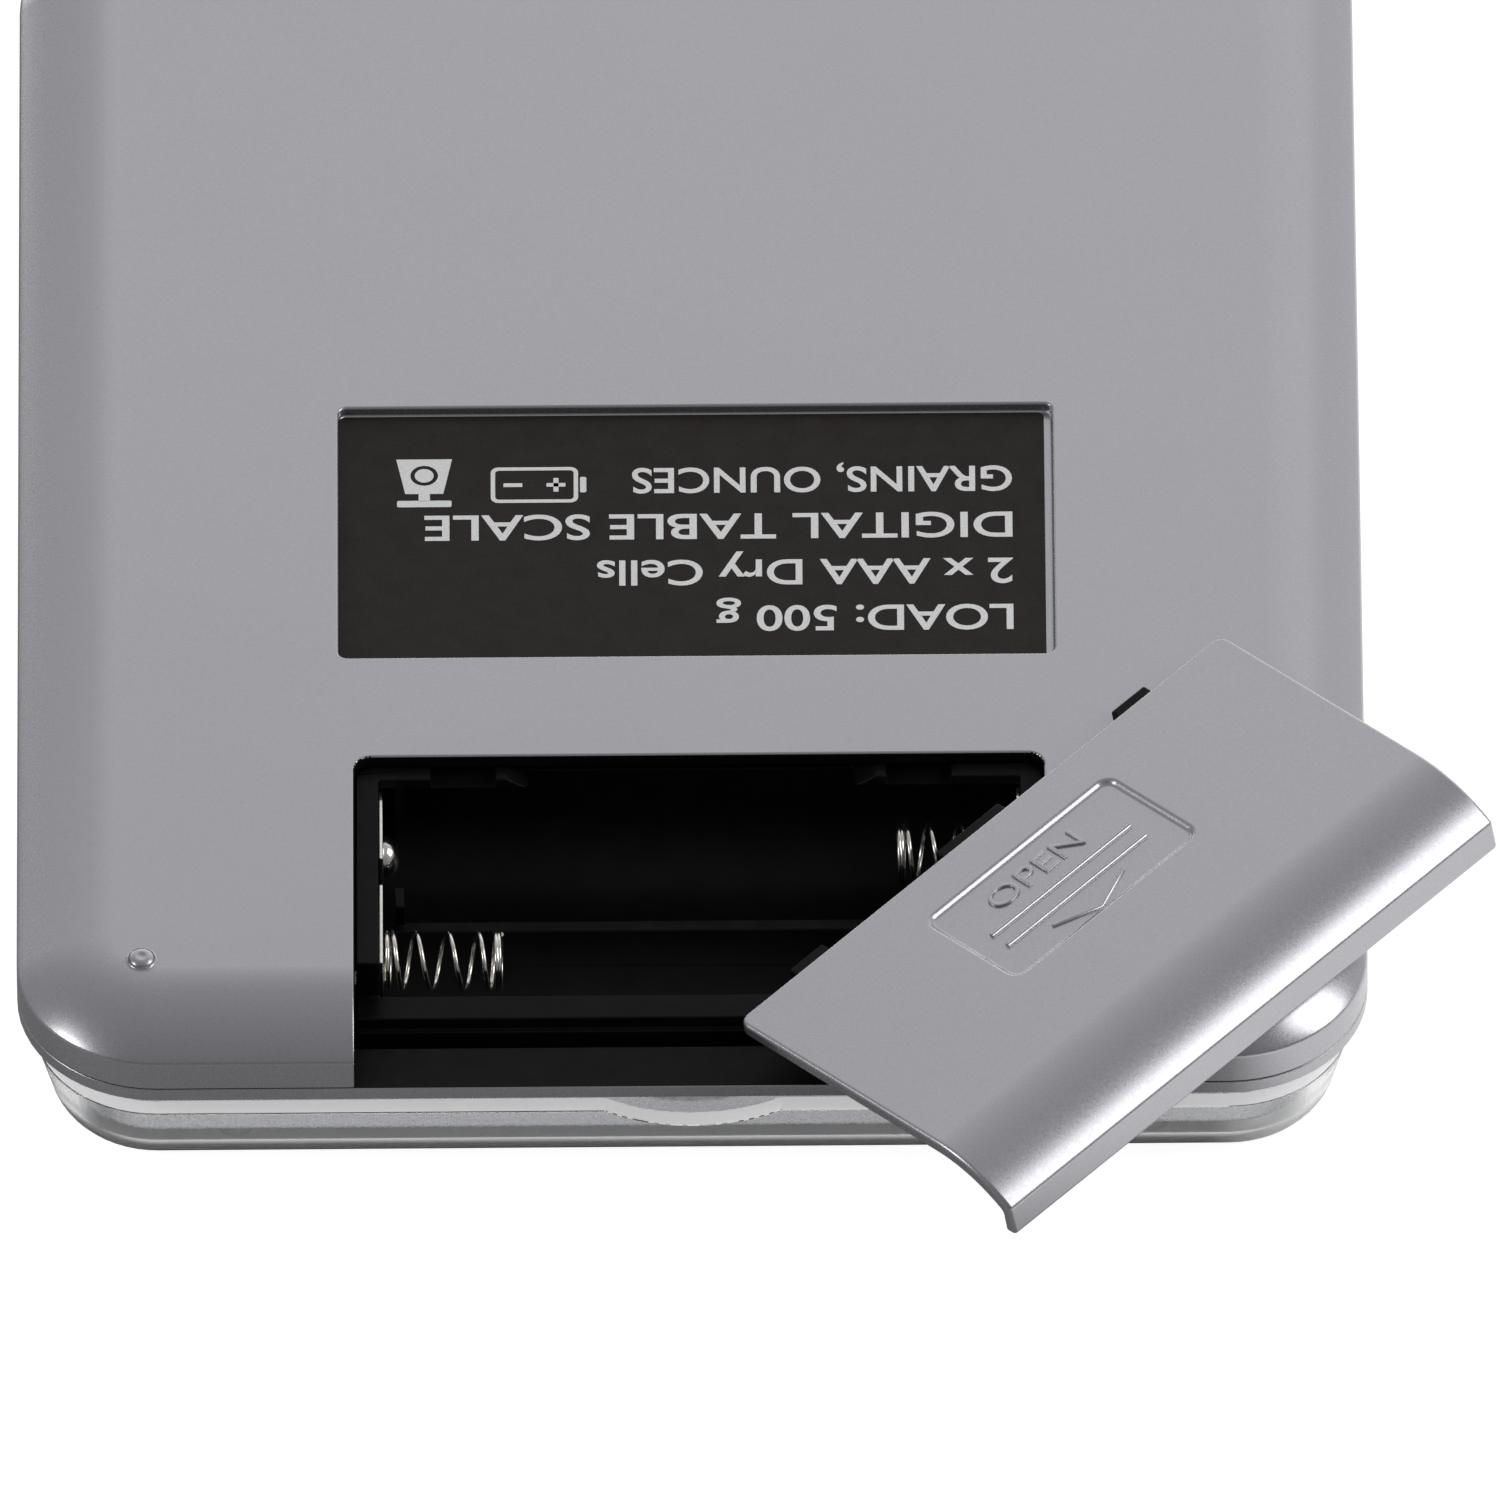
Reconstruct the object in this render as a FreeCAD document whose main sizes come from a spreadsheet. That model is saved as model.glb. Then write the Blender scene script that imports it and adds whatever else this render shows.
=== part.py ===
"""A small tabletop precision scale, turned face down on its clear cover, with its battery door taken off.

Frame: millimetres, +Z up, out of the scale's base. The origin is the centre of the clear cover's
resting face, +X is to the right and -Y is the battery end.
"""

import FreeCAD, Part
import math
import os
import re

import Sketcher

V = FreeCAD.Vector
TURN_TO_X = FreeCAD.Rotation(V(0, 1, 0), 90)
TURN_TO_Y = FreeCAD.Rotation(V(1, 0, 0), -90)

SIZES = {
    # outside of the scale
    "body_width": 106.0,
    "body_length": 127.0,
    "body_corner": 11.0,
    "base_height": 17.5,
    "crown_run": 7.8,
    "crown_drop": 3.0,
    "base_depth": 5.85,
    "shell_wall": 1.3,
    # top case
    "rim_band": 1.25,
    "tub_inset": 3.0,
    "tub_draft": 1.3,
    "tub_wall": 1.2,
    "tub_edge": 1.5,
    "tub_inner_edge": 1.0,
    "tub_gap": 0.6,
    "deck_height": 3.2,
    "deck_wall": 1.1,
    # clear cover
    "cover_inset": 1.3,
    "cover_wall": 1.2,
    "cover_floor": 1.2,
    "cover_height": 7.55,
    "cover_draft": 1.9,
    "cover_edge": 3.9,
    "scoop_width": 13.7,
    "scoop_depth": 2.3,
    "rest_gap": 0.05,
    "post_radius": 1.4,
    "post_side": 17.0,
    "post_end": 7.3,
    # feet of the base
    "foot_radius": 1.05,
    "foot_height": 0.45,
    "foot_flat": 0.42,
    "foot_side": 9.85,
    "foot_end": 8.6,
    # label
    "recess_width": 56.4,
    "recess_length": 27.4,
    "recess_corner": 0.7,
    "recess_depth": 0.9,
    "recess_offset": 0.52,
    "recess_end": 41.4,
    "label_gap": 0.25,
    "label_left_gap": 0.05,
    "label_side_gap": 0.65,
    "label_thickness": 0.15,
    # battery bay
    "bay_width": 54.2,
    "bay_offset": 0.65,
    "bay_length": 30.5,
    "bay_corner": 1.3,
    "tray_gap": 0.1,
    "tray_floor": 1.0,
    "tray_back": 0.9,
    "rear_gap": 0.2,
    "cell_radius": 5.25,
    "cell_play": 0.25,
    "cell_rib": 0.85,
    "deck_rest": 0.1,
    "near_axis": 14.5,
    "ledge_depth": 1.1,
    "ledge_width": 1.5,
    "ledge_wall": 1.2,
    "notch_width": 5.1,
    "notch_depth": 2.2,
    "middle_depth": 2.5,
    "middle_width": 25.0,
    "middle_slope": 4.0,
    "shelf_depth": 4.8,
    "shelf_end": 6.5,
    "ridge_depth": 8.6,
    "plate_wall": 0.3,
    "plate_back": 1.9,
    "plate_inset": 1.0,
    "tail_width": 1.6,
    "tail_reach": 0.8,
    "tail_height": 8.8,
    "tail_play": 0.2,
    "dome_radius": 1.75,
    "dome_height": 1.3,
    "dome_tip": 0.96,
    "stop_wall": 0.8,
    "stop_gap": 0.9,
    "stop_width": 2.2,
    "stop_height": 5.0,
    "stop_sink": 1.0,
    "stop_foot": 2.8,
    "spring_radius": 2.3,
    "spring_wire": 0.38,
    "spring_pitch": 2.35,
    "spring_length": 9.45,
    # battery door
    "door_gap": 0.25,
    "door_wall": 1.2,
    "lip_wall": 1.0,
    "tab_reach": 1.7,
    "tab_wall": 1.1,
    "tab_root": 2.0,
    "tab_sink": 0.1,
    "side_tab": 3.7,
    "side_tab_place": 17.9,
    "middle_tab": 7.0,
    "panel_width": 20.4,
    "panel_length": 10.6,
    "panel_corner": 1.2,
    "panel_setback": 4.1,
    "panel_depth": 0.35,
    "door_turn": 44.42,
    "door_tilt": 7.53,
    "door_bank": 4.81,
    "door_x": 3.49,
    "door_end": 2.66,
    "door_lift": -1.18,
    # platform and load cell
    "platform_width": 94.0,
    "platform_length": 80.0,
    "platform_corner": 7.0,
    "platform_end": 10.0,
    "steel_height": 1.6,
    "steel_wall": 0.4,
    "carrier_wall": 0.75,
    "carrier_inset": 0.6,
    "bar_width": 12.0,
    "bar_length": 42.0,
    "bar_thickness": 6.0,
    "bar_height": 7.0,
    "bar_end": 43.0,
    "bar_hole": 2.1,
    "bar_hole_pitch": 7.0,
    "bolt_radius": 1.5,
    "bolt_head": 2.6,
    "bolt_pitch": 7.0,
    "bolt_play": 0.2,
    "bolt_cap": 1.4,
    "base_bolt_cap": 0.9,
    "bolt_short": 1.5,
    "bolt_bite": 4.0,
    "stem_seat": 2.5,
    "stem_gap": 1.0,
    "pad_width": 12.0,
    "pad_length": 14.0,
    "gauge_width": 5.0,
    "gauge_length": 3.0,
    "gauge_wall": 0.12,
    # display and keys
    "display_width": 46.0,
    "display_length": 15.0,
    "display_end": 110.5,
    "lens_border": 2.5,
    "lens_gap": 0.1,
    "glass_side": 1.5,
    "glass_end": 2.0,
    "light_side": 0.5,
    "strip_width": 1.2,
    "strip_place": 1.3,
    "glass_wall": 1.8,
    "light_wall": 2.0,
    "board_height": 8.4,
    "board_wall": 1.2,
    "board_width": 88.0,
    "board_length": 30.0,
    "board_end": 90.0,
    "board_screw_inset": 3.0,
    "board_screw_cap": 0.9,
    "controller_side": 9.0,
    "controller_wall": 1.4,
    "controller_x": 8.0,
    "amplifier_width": 4.0,
    "amplifier_length": 5.0,
    "amplifier_wall": 1.5,
    "amplifier_x": -12.0,
    "amplifier_end": 9.0,
    "crystal_width": 8.0,
    "crystal_length": 3.0,
    "crystal_wall": 2.4,
    "crystal_x": -26.0,
    "capacitor_radius": 2.0,
    "capacitor_height": 4.5,
    "capacitor_x": 24.0,
    "capacitor_end": 8.0,
    "key_width": 14.0,
    "key_corner": 1.0,
    "key_border": 0.8,
    "key_rest": 0.05,
    "key_stem": 0.9,
    "stem_radius": 1.2,
    "key_play": 0.35,
    "switch_side": 4.5,
    "plunger_radius": 1.1,
    "plunger_reach": 0.3,
    "key_length": 6.0,
    "key_pitch": 19.0,
    "key_end": 97.0,
    "key_gap": 0.3,
    "key_face": 2.4,
    "key_flange": 1.0,
    # fasteners
    "case_screw_side": 9.0,
    "case_screw_end": 13.0,
    "case_screw_span": 60.0,
    "boss_radius": 3.0,
    "screw_radius": 1.1,
    "screw_head": 2.1,
    "case_screw_length": 7.0,
    "lead_radius": 0.5,
    "lead_bend": 2.0,
    "near_lead_out": 6.0,
    "far_lead_out": 3.0,
    "cable_radius": 0.8,
    "cable_bend": 2.5,
    "cable_out": 4.0,
    "cable_start": 3.0,
    # how far a cut runs past a face, and how far joined solids sink into each other
    "past": 20.0,
    "seam": 0.01,
}

FRONT = "(-body_length/2)"
PARTING = "(base_height-base_depth)"
CROWN_RADIUS = "((crown_run*crown_run+crown_drop*crown_drop)/(2*crown_drop))"
TRAY_RADIUS = "(cell_radius+cell_play)"
CELL_PITCH = "(2*cell_radius+cell_rib)"
FAR_AXIS = f"(near_axis+{CELL_PITCH})"
DECK_INSIDE = "(deck_height+deck_wall)"
CELL_HEIGHT = f"({DECK_INSIDE}+deck_rest+tray_floor+{TRAY_RADIUS})"
CAVITY = "(bay_width/2-plate_back)"

LEVEL = 1e-4

doc = FreeCAD.newDocument("precision_scale")
sheet = doc.addObject("Spreadsheet::Sheet", "dims")
for row, (alias, size) in enumerate(SIZES.items(), start=1):
    sheet.set(f"A{row}", alias)
    sheet.set(f"B{row}", str(size))
    sheet.setAlias(f"B{row}", alias)
doc.recompute()

subparts = []


def formula(text):
    """The same formula with each size's word pointing at its cell in the sheet."""
    return re.sub(r"[a-z_]+", lambda m: "dims." + m[0] if m[0] in SIZES else m[0], str(text))


def size(name):
    """One size read back from the sheet."""
    return float(sheet.get(name))


def bind(thing, **formulas):
    for prop, text in formulas.items():
        thing.setExpression(prop.replace("__", "."), formula(text))
    return thing


def put(thing, x=0, y=0, z=0):
    return bind(thing, Placement__Base__x=x, Placement__Base__y=y, Placement__Base__z=z)


def block(width, length, height, x, y, z):
    """A box whose x and y give its middle and z its underside."""
    box = doc.addObject("Part::Box", "block")
    bind(box, Length=width, Width=length, Height=height)
    return put(box, f"{x}-({width})/2", f"{y}-({length})/2", z)


def rod(radius, height, x, y, z, turn=None):
    """A cylinder standing on its place, or laid along X or Y from it."""
    cylinder = doc.addObject("Part::Cylinder", "rod")
    bind(cylinder, Radius=radius, Height=height)
    if turn:
        cylinder.Placement = FreeCAD.Placement(V(), turn)
    return put(cylinder, x, y, z)


def frustum(low, high, height, x, y, z, turn=None):
    cone = doc.addObject("Part::Cone", "frustum")
    bind(cone, Radius1=low, Radius2=high, Height=height)
    if turn:
        cone.Placement = FreeCAD.Placement(V(), turn)
    return put(cone, x, y, z)


def join(*things):
    fused = doc.addObject("Part::MultiFuse", "join")
    fused.Shapes = list(things)
    return fused


def cut(base, *tools):
    tool = tools[0] if len(tools) == 1 else join(*tools)
    result = doc.addObject("Part::Cut", "cut")
    result.Base, result.Tool = base, tool
    return result


def common(first, second):
    result = doc.addObject("Part::Common", "common")
    result.Base, result.Tool = first, second
    return result


def node(name, thing):
    """Name a finished sub-part; its label is its file's name."""
    thing.Label = name
    subparts.append(thing)
    return thing


def plane_of(body, role):
    return next(p for p in body.Origin.OriginFeatures if p.Role == role)


def attach(body, sketch, role="XY_Plane"):
    sketch.AttachmentSupport = [(plane_of(body, role), "")]
    sketch.MapMode = "FlatFace"


def outline(body, width, length, corner, rise=0):
    """A sketch of a rounded rectangle about the body's Z axis, raised by `rise`."""
    sketch = body.newObject("Sketcher::SketchObject", "outline")
    attach(body, sketch)
    bind(sketch, AttachmentOffset__Base__z=rise)
    half_w, half_l, r = 20.0, 15.0, 3.0
    spots = [(1, 1), (-1, 1), (-1, -1), (1, -1)]
    for i, (sx, sy) in enumerate(spots):
        centre = V(sx * (half_w - r), sy * (half_l - r), 0)
        start = math.radians(90 * i)
        sketch.addGeometry(
            Part.ArcOfCircle(Part.Circle(centre, V(0, 0, 1), r), start, start + math.pi / 2), False
        )
    for i in range(4):
        a = sketch.Geometry[i].EndPoint
        b = sketch.Geometry[(i + 1) % 4].StartPoint
        sketch.addGeometry(Part.LineSegment(a, b), False)
    for i in range(4):
        sketch.addConstraint(Sketcher.Constraint("Tangent", i, 2, 4 + i, 1))
        sketch.addConstraint(Sketcher.Constraint("Tangent", 4 + i, 2, (i + 1) % 4, 1))
    for i in (4, 6):
        sketch.addConstraint(Sketcher.Constraint("Horizontal", i))
    for i in (5, 7):
        sketch.addConstraint(Sketcher.Constraint("Vertical", i))
    for i in (1, 2, 3):
        sketch.addConstraint(Sketcher.Constraint("Equal", 0, i))
    sketch.addConstraint(Sketcher.Constraint("Symmetric", 0, 3, 2, 3, -1, 1))
    named = {
        "width": (Sketcher.Constraint("DistanceX", 5, 2, 7, 1, 2 * half_w), width),
        "length": (Sketcher.Constraint("DistanceY", 6, 1, 4, 2, 2 * half_l), length),
        "corner": (Sketcher.Constraint("Radius", 0, r), corner),
    }
    for name, (constraint, text) in named.items():
        index = sketch.addConstraint(constraint)
        sketch.renameConstraint(index, name)
        bind(sketch, **{f"Constraints__{name}": text})
    return sketch


def slab(width, length, corner, height, x=0, y=0, z=0):
    """A rounded plate about x, y standing on z."""
    body = doc.addObject("PartDesign::Body", "slab")
    sketch = outline(body, width, length, corner)
    pad = body.newObject("PartDesign::Pad", "pad")
    pad.Profile = sketch
    bind(pad, Length=height)
    return put(body, x, y, z)


def edges_at(shape, level):
    """The names of the shape's edges that lie at one height."""
    return [
        f"Edge{i}"
        for i, edge in enumerate(shape.Edges, start=1)
        if abs(edge.BoundBox.ZMin - level) < LEVEL and abs(edge.BoundBox.ZMax - level) < LEVEL
    ]


def crowned(width, length, corner, height, radius, z):
    """A rounded plate standing on z with a full round on its top edge."""
    body = doc.addObject("PartDesign::Body", "crowned")
    pad = body.newObject("PartDesign::Pad", "pad")
    pad.Profile = outline(body, width, length, corner)
    bind(pad, Length=height)
    doc.recompute()
    fillet = body.newObject("PartDesign::Fillet", "crown")
    fillet.Base = (pad, edges_at(pad.Shape, pad.Length.Value))
    bind(fillet, Radius=radius)
    return put(body, 0, 0, z)


def walls_of(shape):
    """The names of the shape's upright faces."""
    return [
        f"Face{i}"
        for i, face in enumerate(shape.Faces, start=1)
        if face.BoundBox.ZLength > LEVEL
    ]


def tub(width, length, corner, draft, height, edge, z):
    """A drafted block standing on z: wide at its top, with a round on its bottom edge."""
    body = doc.addObject("PartDesign::Body", "tub")
    pad = body.newObject("PartDesign::Pad", "pad")
    pad.Profile = outline(body, f"{width}-2*{draft}", f"{length}-2*{draft}", f"{corner}-{draft}")
    bind(pad, Length=height)
    doc.recompute()
    slope = body.newObject("PartDesign::Draft", "slope")
    slope.Base = (pad, walls_of(pad.Shape))
    slope.NeutralPlane = (plane_of(body, "XY_Plane"), [""])
    slope.Reversed = True
    bind(slope, Angle=f"atan({draft}/({height}))")
    doc.recompute()
    fillet = body.newObject("PartDesign::Fillet", "edge")
    fillet.Base = (slope, edges_at(slope.Shape, 0))
    bind(fillet, Radius=edge)
    return put(body, 0, 0, z)


def prism(points, role, depth, x=0, y=0, z=0):
    """A straight-sided outline padded about one of the body's planes, half each way."""
    body = doc.addObject("PartDesign::Body", "prism")
    sketch = body.newObject("Sketcher::SketchObject", "profile")
    attach(body, sketch, role)
    count = len(points)
    angles = [math.tau * i / count for i in range(count)]
    spots = [V(math.cos(angle), math.sin(angle), 0) * count for angle in angles]
    for i in range(count):
        sketch.addGeometry(Part.LineSegment(spots[i], spots[(i + 1) % count]), False)
    for i in range(count):
        sketch.addConstraint(Sketcher.Constraint("Coincident", i, 2, (i + 1) % count, 1))
    for i, place in enumerate(points):
        for kind, text in zip(("DistanceX", "DistanceY"), place):
            index = sketch.addConstraint(Sketcher.Constraint(kind, -1, 1, i, 1, 1.0))
            name = f"{kind[-1].lower()}_{'abcdefgh'[i]}"
            sketch.renameConstraint(index, name)
            bind(sketch, **{f"Constraints__{name}": text})
    pad = body.newObject("PartDesign::Pad", "pad")
    pad.Profile = sketch
    pad.Midplane = True
    bind(pad, Length=depth)
    return put(body, x, y, z)


# ---- clear cover ----


def clear_cover():
    width = "(body_width-2*cover_inset)"
    length = "(body_length-2*cover_inset)"
    corner = "(body_corner-cover_inset)"
    outside = tub(width, length, corner, "cover_draft", "cover_height", "cover_edge", 0)
    inside = tub(
        f"{width}-2*cover_wall",
        f"{length}-2*cover_wall",
        f"{corner}-cover_wall",
        "cover_draft",
        "cover_height",
        "(cover_edge-cover_wall)",
        "cover_floor",
    )
    # the thumb scoop is an arc through both corners of its chord and its lowest point
    arc = "((scoop_width*scoop_width/4+scoop_depth*scoop_depth)/(2*scoop_depth))"
    scoop = rod(arc, "6*cover_wall", 0, FRONT + "-cover_wall", f"cover_height-scoop_depth+{arc}", TURN_TO_Y)
    posts = [
        rod(
            "post_radius", "deck_height-rest_gap-cover_floor/2",
            f"{sx}*(body_width/2-post_side)", f"{sy}*(body_length/2-post_end)", "cover_floor/2",
        )
        for sx in (1, -1)
        for sy in (1, -1)
    ]
    return node("clear_cover", join(cut(outside, inside, scoop), *posts))


# ---- base of the scale ----


def bay_middle():
    return f"({FRONT}+bay_length/2)"


def base_cover():
    outer = slab("body_width", "body_length", "body_corner", "base_depth", 0, 0, PARTING)
    spare = f"({CROWN_RADIUS}-crown_run)"
    rounded = crowned(
        f"body_width+2*{spare}", f"body_length+2*{spare}", f"body_corner+{spare}",
        "base_depth+past", CROWN_RADIUS, PARTING + "-past",
    )
    inner = slab(
        "body_width-2*shell_wall", "body_length-2*shell_wall", "body_corner-shell_wall",
        "base_depth", 0, 0, PARTING + "-shell_wall",
    )
    hollow = crowned(
        f"body_width+2*{spare}-2*shell_wall", f"body_length+2*{spare}-2*shell_wall",
        f"body_corner+{spare}-shell_wall", "base_depth+past",
        f"({CROWN_RADIUS}-shell_wall)", PARTING + "-past-shell_wall",
    )
    shell = cut(common(outer, rounded), common(inner, hollow))
    label_y = f"({FRONT}+recess_end+recess_length/2)"
    backing = slab(
        "recess_width+2*shell_wall", "recess_length+2*shell_wall", "recess_corner+shell_wall",
        "recess_depth+shell_wall/2", "recess_offset", label_y, "base_height-recess_depth-shell_wall",
    )
    recess = slab(
        "recess_width", "recess_length", "recess_corner", "recess_depth+past",
        "recess_offset", label_y, "base_height-recess_depth",
    )
    bay = slab(
        "bay_width", "bay_length+past", "bay_corner", "base_depth+past",
        "bay_offset", f"{FRONT}+bay_length-(bay_length+past)/2", PARTING + "-past/2",
    )
    feet = [foot(sx, sy) for sx in (1, -1) for sy in (1, -1)]
    bosses = []
    bores = []
    for x, y in case_screw_places():
        low = f"({DECK_INSIDE}+deck_rest)"
        bosses.append(rod("boss_radius", f"base_height-shell_wall/2-{low}", x, y, low))
        bores.append(rod("screw_radius", f"base_height-2*shell_wall-{low}", x, y, low))
    pad_low = "(bar_height+bar_thickness)"
    pad = block(
        "pad_width", "pad_length", f"base_height-recess_depth-shell_wall/2-{pad_low}",
        0, bar_fixed_end(), pad_low,
    )
    for step in (-0.5, 0.5):
        y = f"{bar_fixed_end()}+({step})*bolt_pitch"
        bores.append(rod("bolt_radius+bolt_play", "base_height", 0, y, "bar_height"))
        bores.append(rod("bolt_head+bolt_play", "base_height", 0, y, bolt_seat()))
    solid = join(shell, backing, pad, *bosses)
    return node("base_cover", join(cut(solid, recess, bay, *bores), *feet))


def foot(sx, sy):
    """A low round foot with a small flat on its top."""
    x = f"{sx}*(body_width/2-foot_side)"
    y = f"{sy}*(body_length/2-foot_end)"
    collar = rod("foot_radius", "shell_wall/2+foot_height/2", x, y, "base_height-shell_wall/2")
    top = frustum("foot_radius", "foot_flat", "foot_height/2", x, y, "base_height+foot_height/2")
    return join(collar, top)


def case_screw_places():
    """The middle of each screw that joins the two halves of the case."""
    rows = (f"{FRONT}+case_screw_end", f"{FRONT}+case_screw_end+case_screw_span")
    return [(f"{sx}*(body_width/2-case_screw_side)", y) for sx in (1, -1) for y in rows]


def bar_fixed_end():
    return f"({FRONT}+bar_end+pad_length/2)"


def bar_free_end():
    return f"({FRONT}+bar_end+bar_length-pad_length/2)"


def bolt_seat():
    """The level on which the heads of the load cell's base screws sit."""
    return "(base_height-recess_depth-shell_wall)"


def spec_label():
    width = "(recess_width-label_left_gap-label_side_gap)"
    return node("spec_label", slab(
        width, "recess_length-2*label_gap", "recess_corner-label_gap/2", "label_thickness",
        "recess_offset-(label_side_gap-label_left_gap)/2", f"{FRONT}+recess_end+recess_length/2",
        "base_height-recess_depth",
    ))


def top_case():
    flange = slab("body_width", "body_length", "body_corner", "rim_band", 0, 0, PARTING + "-rim_band")
    top = f"({PARTING}-rim_band)"
    width = "(body_width-2*tub_inset)"
    length = "(body_length-2*tub_inset)"
    corner = "(body_corner-tub_inset)"
    height = f"({top}-deck_height)"
    outside = tub(width, length, corner, "tub_draft", height, "tub_edge", "deck_height")
    inside = tub(
        f"{width}-2*tub_wall", f"{length}-2*tub_wall", f"{corner}-tub_wall", "tub_draft",
        f"{height}+rim_band+seam", "tub_inner_edge", DECK_INSIDE,
    )
    tools = [inside]
    window = block(
        "display_width", "display_length", "3*deck_wall", 0, display_middle(), "deck_height-deck_wall",
    )
    rebate = block(
        "display_width+2*lens_border", "display_length+2*lens_border", "deck_wall",
        0, display_middle(), "deck_height-deck_wall/2",
    )
    tools += [window, rebate]
    for x in key_places():
        tools.append(block("key_width+2*key_gap", "key_length+2*key_gap", "3*deck_wall",
                           x, key_middle(), "deck_height-deck_wall"))
    tools.append(block("pad_width+2*stem_gap", "pad_length+2*stem_gap", "3*deck_wall",
                       0, bar_free_end(), "deck_height-deck_wall"))
    for x, y in case_screw_places():
        tools.append(rod("screw_radius+bolt_play", "3*deck_wall", x, y, "deck_height-deck_wall"))
        tools.append(rod("screw_head+bolt_play", "deck_wall", x, y, "deck_height-deck_wall/2"))
    pillars = []
    for x, y in board_corners():
        low = "(deck_height+deck_wall/2)"
        pillars.append(rod("screw_head", f"board_height-{low}", x, y, low))
    return node("top_case", join(cut(join(flange, outside), *tools), *pillars))


# ---- battery bay ----


def along(place):
    """A place measured from the front face towards the far end."""
    return f"({FRONT}+{place})"


def battery_tray():
    half = "(bay_width/2-tray_gap)"
    bottom = f"({CELL_HEIGHT}-{TRAY_RADIUS}-tray_floor)"
    back = f"({FAR_AXIS}+{TRAY_RADIUS}+tray_back)"
    front = "(tub_inset+tub_wall+tub_draft+tub_gap)"
    top = "(base_height-ledge_depth)"
    body = slab(
        f"2*{half}", f"bay_length-tray_gap-{front}+past", "bay_corner-tray_gap", f"{top}-{bottom}",
        "bay_offset", along(f"bay_length-tray_gap-(bay_length-tray_gap-{front}+past)/2"), bottom,
    )
    trim = block("2*bay_width", "2*past", "2*past", 0, along(f"{front}-past"), "-past/2")
    rear = block(
        f"2*{half}", f"{back}-bay_length/2", f"base_height-shell_wall-rear_gap-{bottom}",
        "bay_offset", along(f"({back}+bay_length/2)/2"), bottom,
    )
    tools = []
    span = f"(2*{CAVITY})"
    for axis in ("near_axis", FAR_AXIS):
        tools.append(rod(TRAY_RADIUS, span, f"bay_offset-{CAVITY}", along(axis), CELL_HEIGHT, TURN_TO_X))
    near = f"(near_axis-{TRAY_RADIUS})"
    far = f"({FAR_AXIS}+{TRAY_RADIUS})"
    under = "(base_height-ledge_depth-ledge_wall)"
    ridge = "(base_height-ridge_depth)"
    # room above each cell's axis, the way between the channels, and the mouth in front of the ledge
    tools.append(block(span, f"{far}-{near}", f"{under}-{CELL_HEIGHT}",
                       "bay_offset", along(f"({near}+{far})/2"), CELL_HEIGHT))
    tools.append(block(span, CELL_PITCH, f"{CELL_HEIGHT}-{ridge}+seam",
                       "bay_offset", along(f"(near_axis+{CELL_PITCH}/2)"), ridge))
    mouth = "(bay_length-ledge_width)"
    tools.append(block(span, f"{mouth}-{near}", "past",
                       "bay_offset", along(f"({near}+{mouth})/2"), CELL_HEIGHT))
    # the low shelf in front of the cells, and the step down to the parting plane
    shelf = "(base_height-shelf_depth)"
    tools.append(block("2*bay_width", f"{near}+past", "past", 0, along(f"({near}-past)/2"), shelf))
    tools.append(block("2*bay_width", "shelf_end+past", "past",
                       0, along("(shelf_end-past)/2"), PARTING + "-tray_gap"))
    # the ledge drops for the door's middle tab, with a slope at each end, and has a notch for each side tab
    drop = "(middle_depth-ledge_depth)"
    tools.append(prism(
        [("-middle_width/2", "0-(" + drop + ")"), ("middle_width/2", "0-(" + drop + ")"),
         ("middle_width/2+middle_slope", drop), ("-middle_width/2-middle_slope", drop)],
        "XZ_Plane", "6*ledge_width", 0, along("bay_length"), "base_height-ledge_depth",
    ))
    for side in (1, -1):
        tools.append(block("notch_width", "6*ledge_width", "past", f"{side}*side_tab_place",
                           along("bay_length"), "base_height-notch_depth"))
    # a slot behind each contact plate, and the small holes that its solder tails leave by
    for side in (1, -1):
        tools.append(block("plate_wall+stop_gap", f"{far}-{near}", f"{under}-{plate_low()}",
                           f"bay_offset+{side}*({CAVITY}-(plate_wall+stop_gap)/2)",
                           along(f"({near}+{far})/2"), plate_low()))
    for axis in ("near_axis", FAR_AXIS):
        tools.append(block("2*plate_back+tail_reach", "tail_width+2*tail_play", "plate_wall+2*tail_play",
                           f"bay_offset-{CAVITY}-plate_back/2", along(axis), "tail_height-tail_play"))
    trough = cut(join(cut(body, trim), rear), *tools)
    stops = []
    for side, axis, way in ((-1, FAR_AXIS, 1), (1, "near_axis", -1)):
        x = f"bay_offset+{side}*({CAVITY}-plate_wall-stop_gap-stop_wall/2)"
        for hand, low in ((way, f"{under}-stop_height+tray_gap"), (-way, f"{ridge}-stop_foot")):
            stops.append(block("stop_wall", "stop_width", "stop_height", x,
                               along(f"{axis}+({hand})*({TRAY_RADIUS}-stop_sink)"), low))
    return node("battery_tray", join(trough, *stops))


def plate_low():
    return f"({CELL_HEIGHT}-cell_radius+plate_inset)"


def contact(side, axes, domes):
    """A sprung-steel plate against one end of the bay, with a dome for each positive end."""
    x = f"(bay_offset+{side}*({CAVITY}-plate_wall/2))"
    low = plate_low()
    first, last = axes[0], axes[-1]
    width = f"{last}-{first}+2*(cell_radius-plate_inset)"
    plate = block("plate_wall", width, f"base_height-ledge_depth-ledge_wall-{low}",
                  x, along(f"({first}+{last})/2"), low)
    parts = [plate]
    if len(axes) == 1:
        parts.append(block("plate_back+tail_reach", "tail_width", "plate_wall",
                           f"bay_offset+{side}*({CAVITY}+(plate_back+tail_reach)/2)",
                           along(first), "tail_height"))
    for axis in domes:
        turn = FreeCAD.Rotation(V(0, 1, 0), -90 * side)
        parts.append(frustum("dome_radius", "dome_tip", "dome_height+plate_wall/2",
                             x, along(axis), CELL_HEIGHT, turn))
    return join(*parts)


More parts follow.
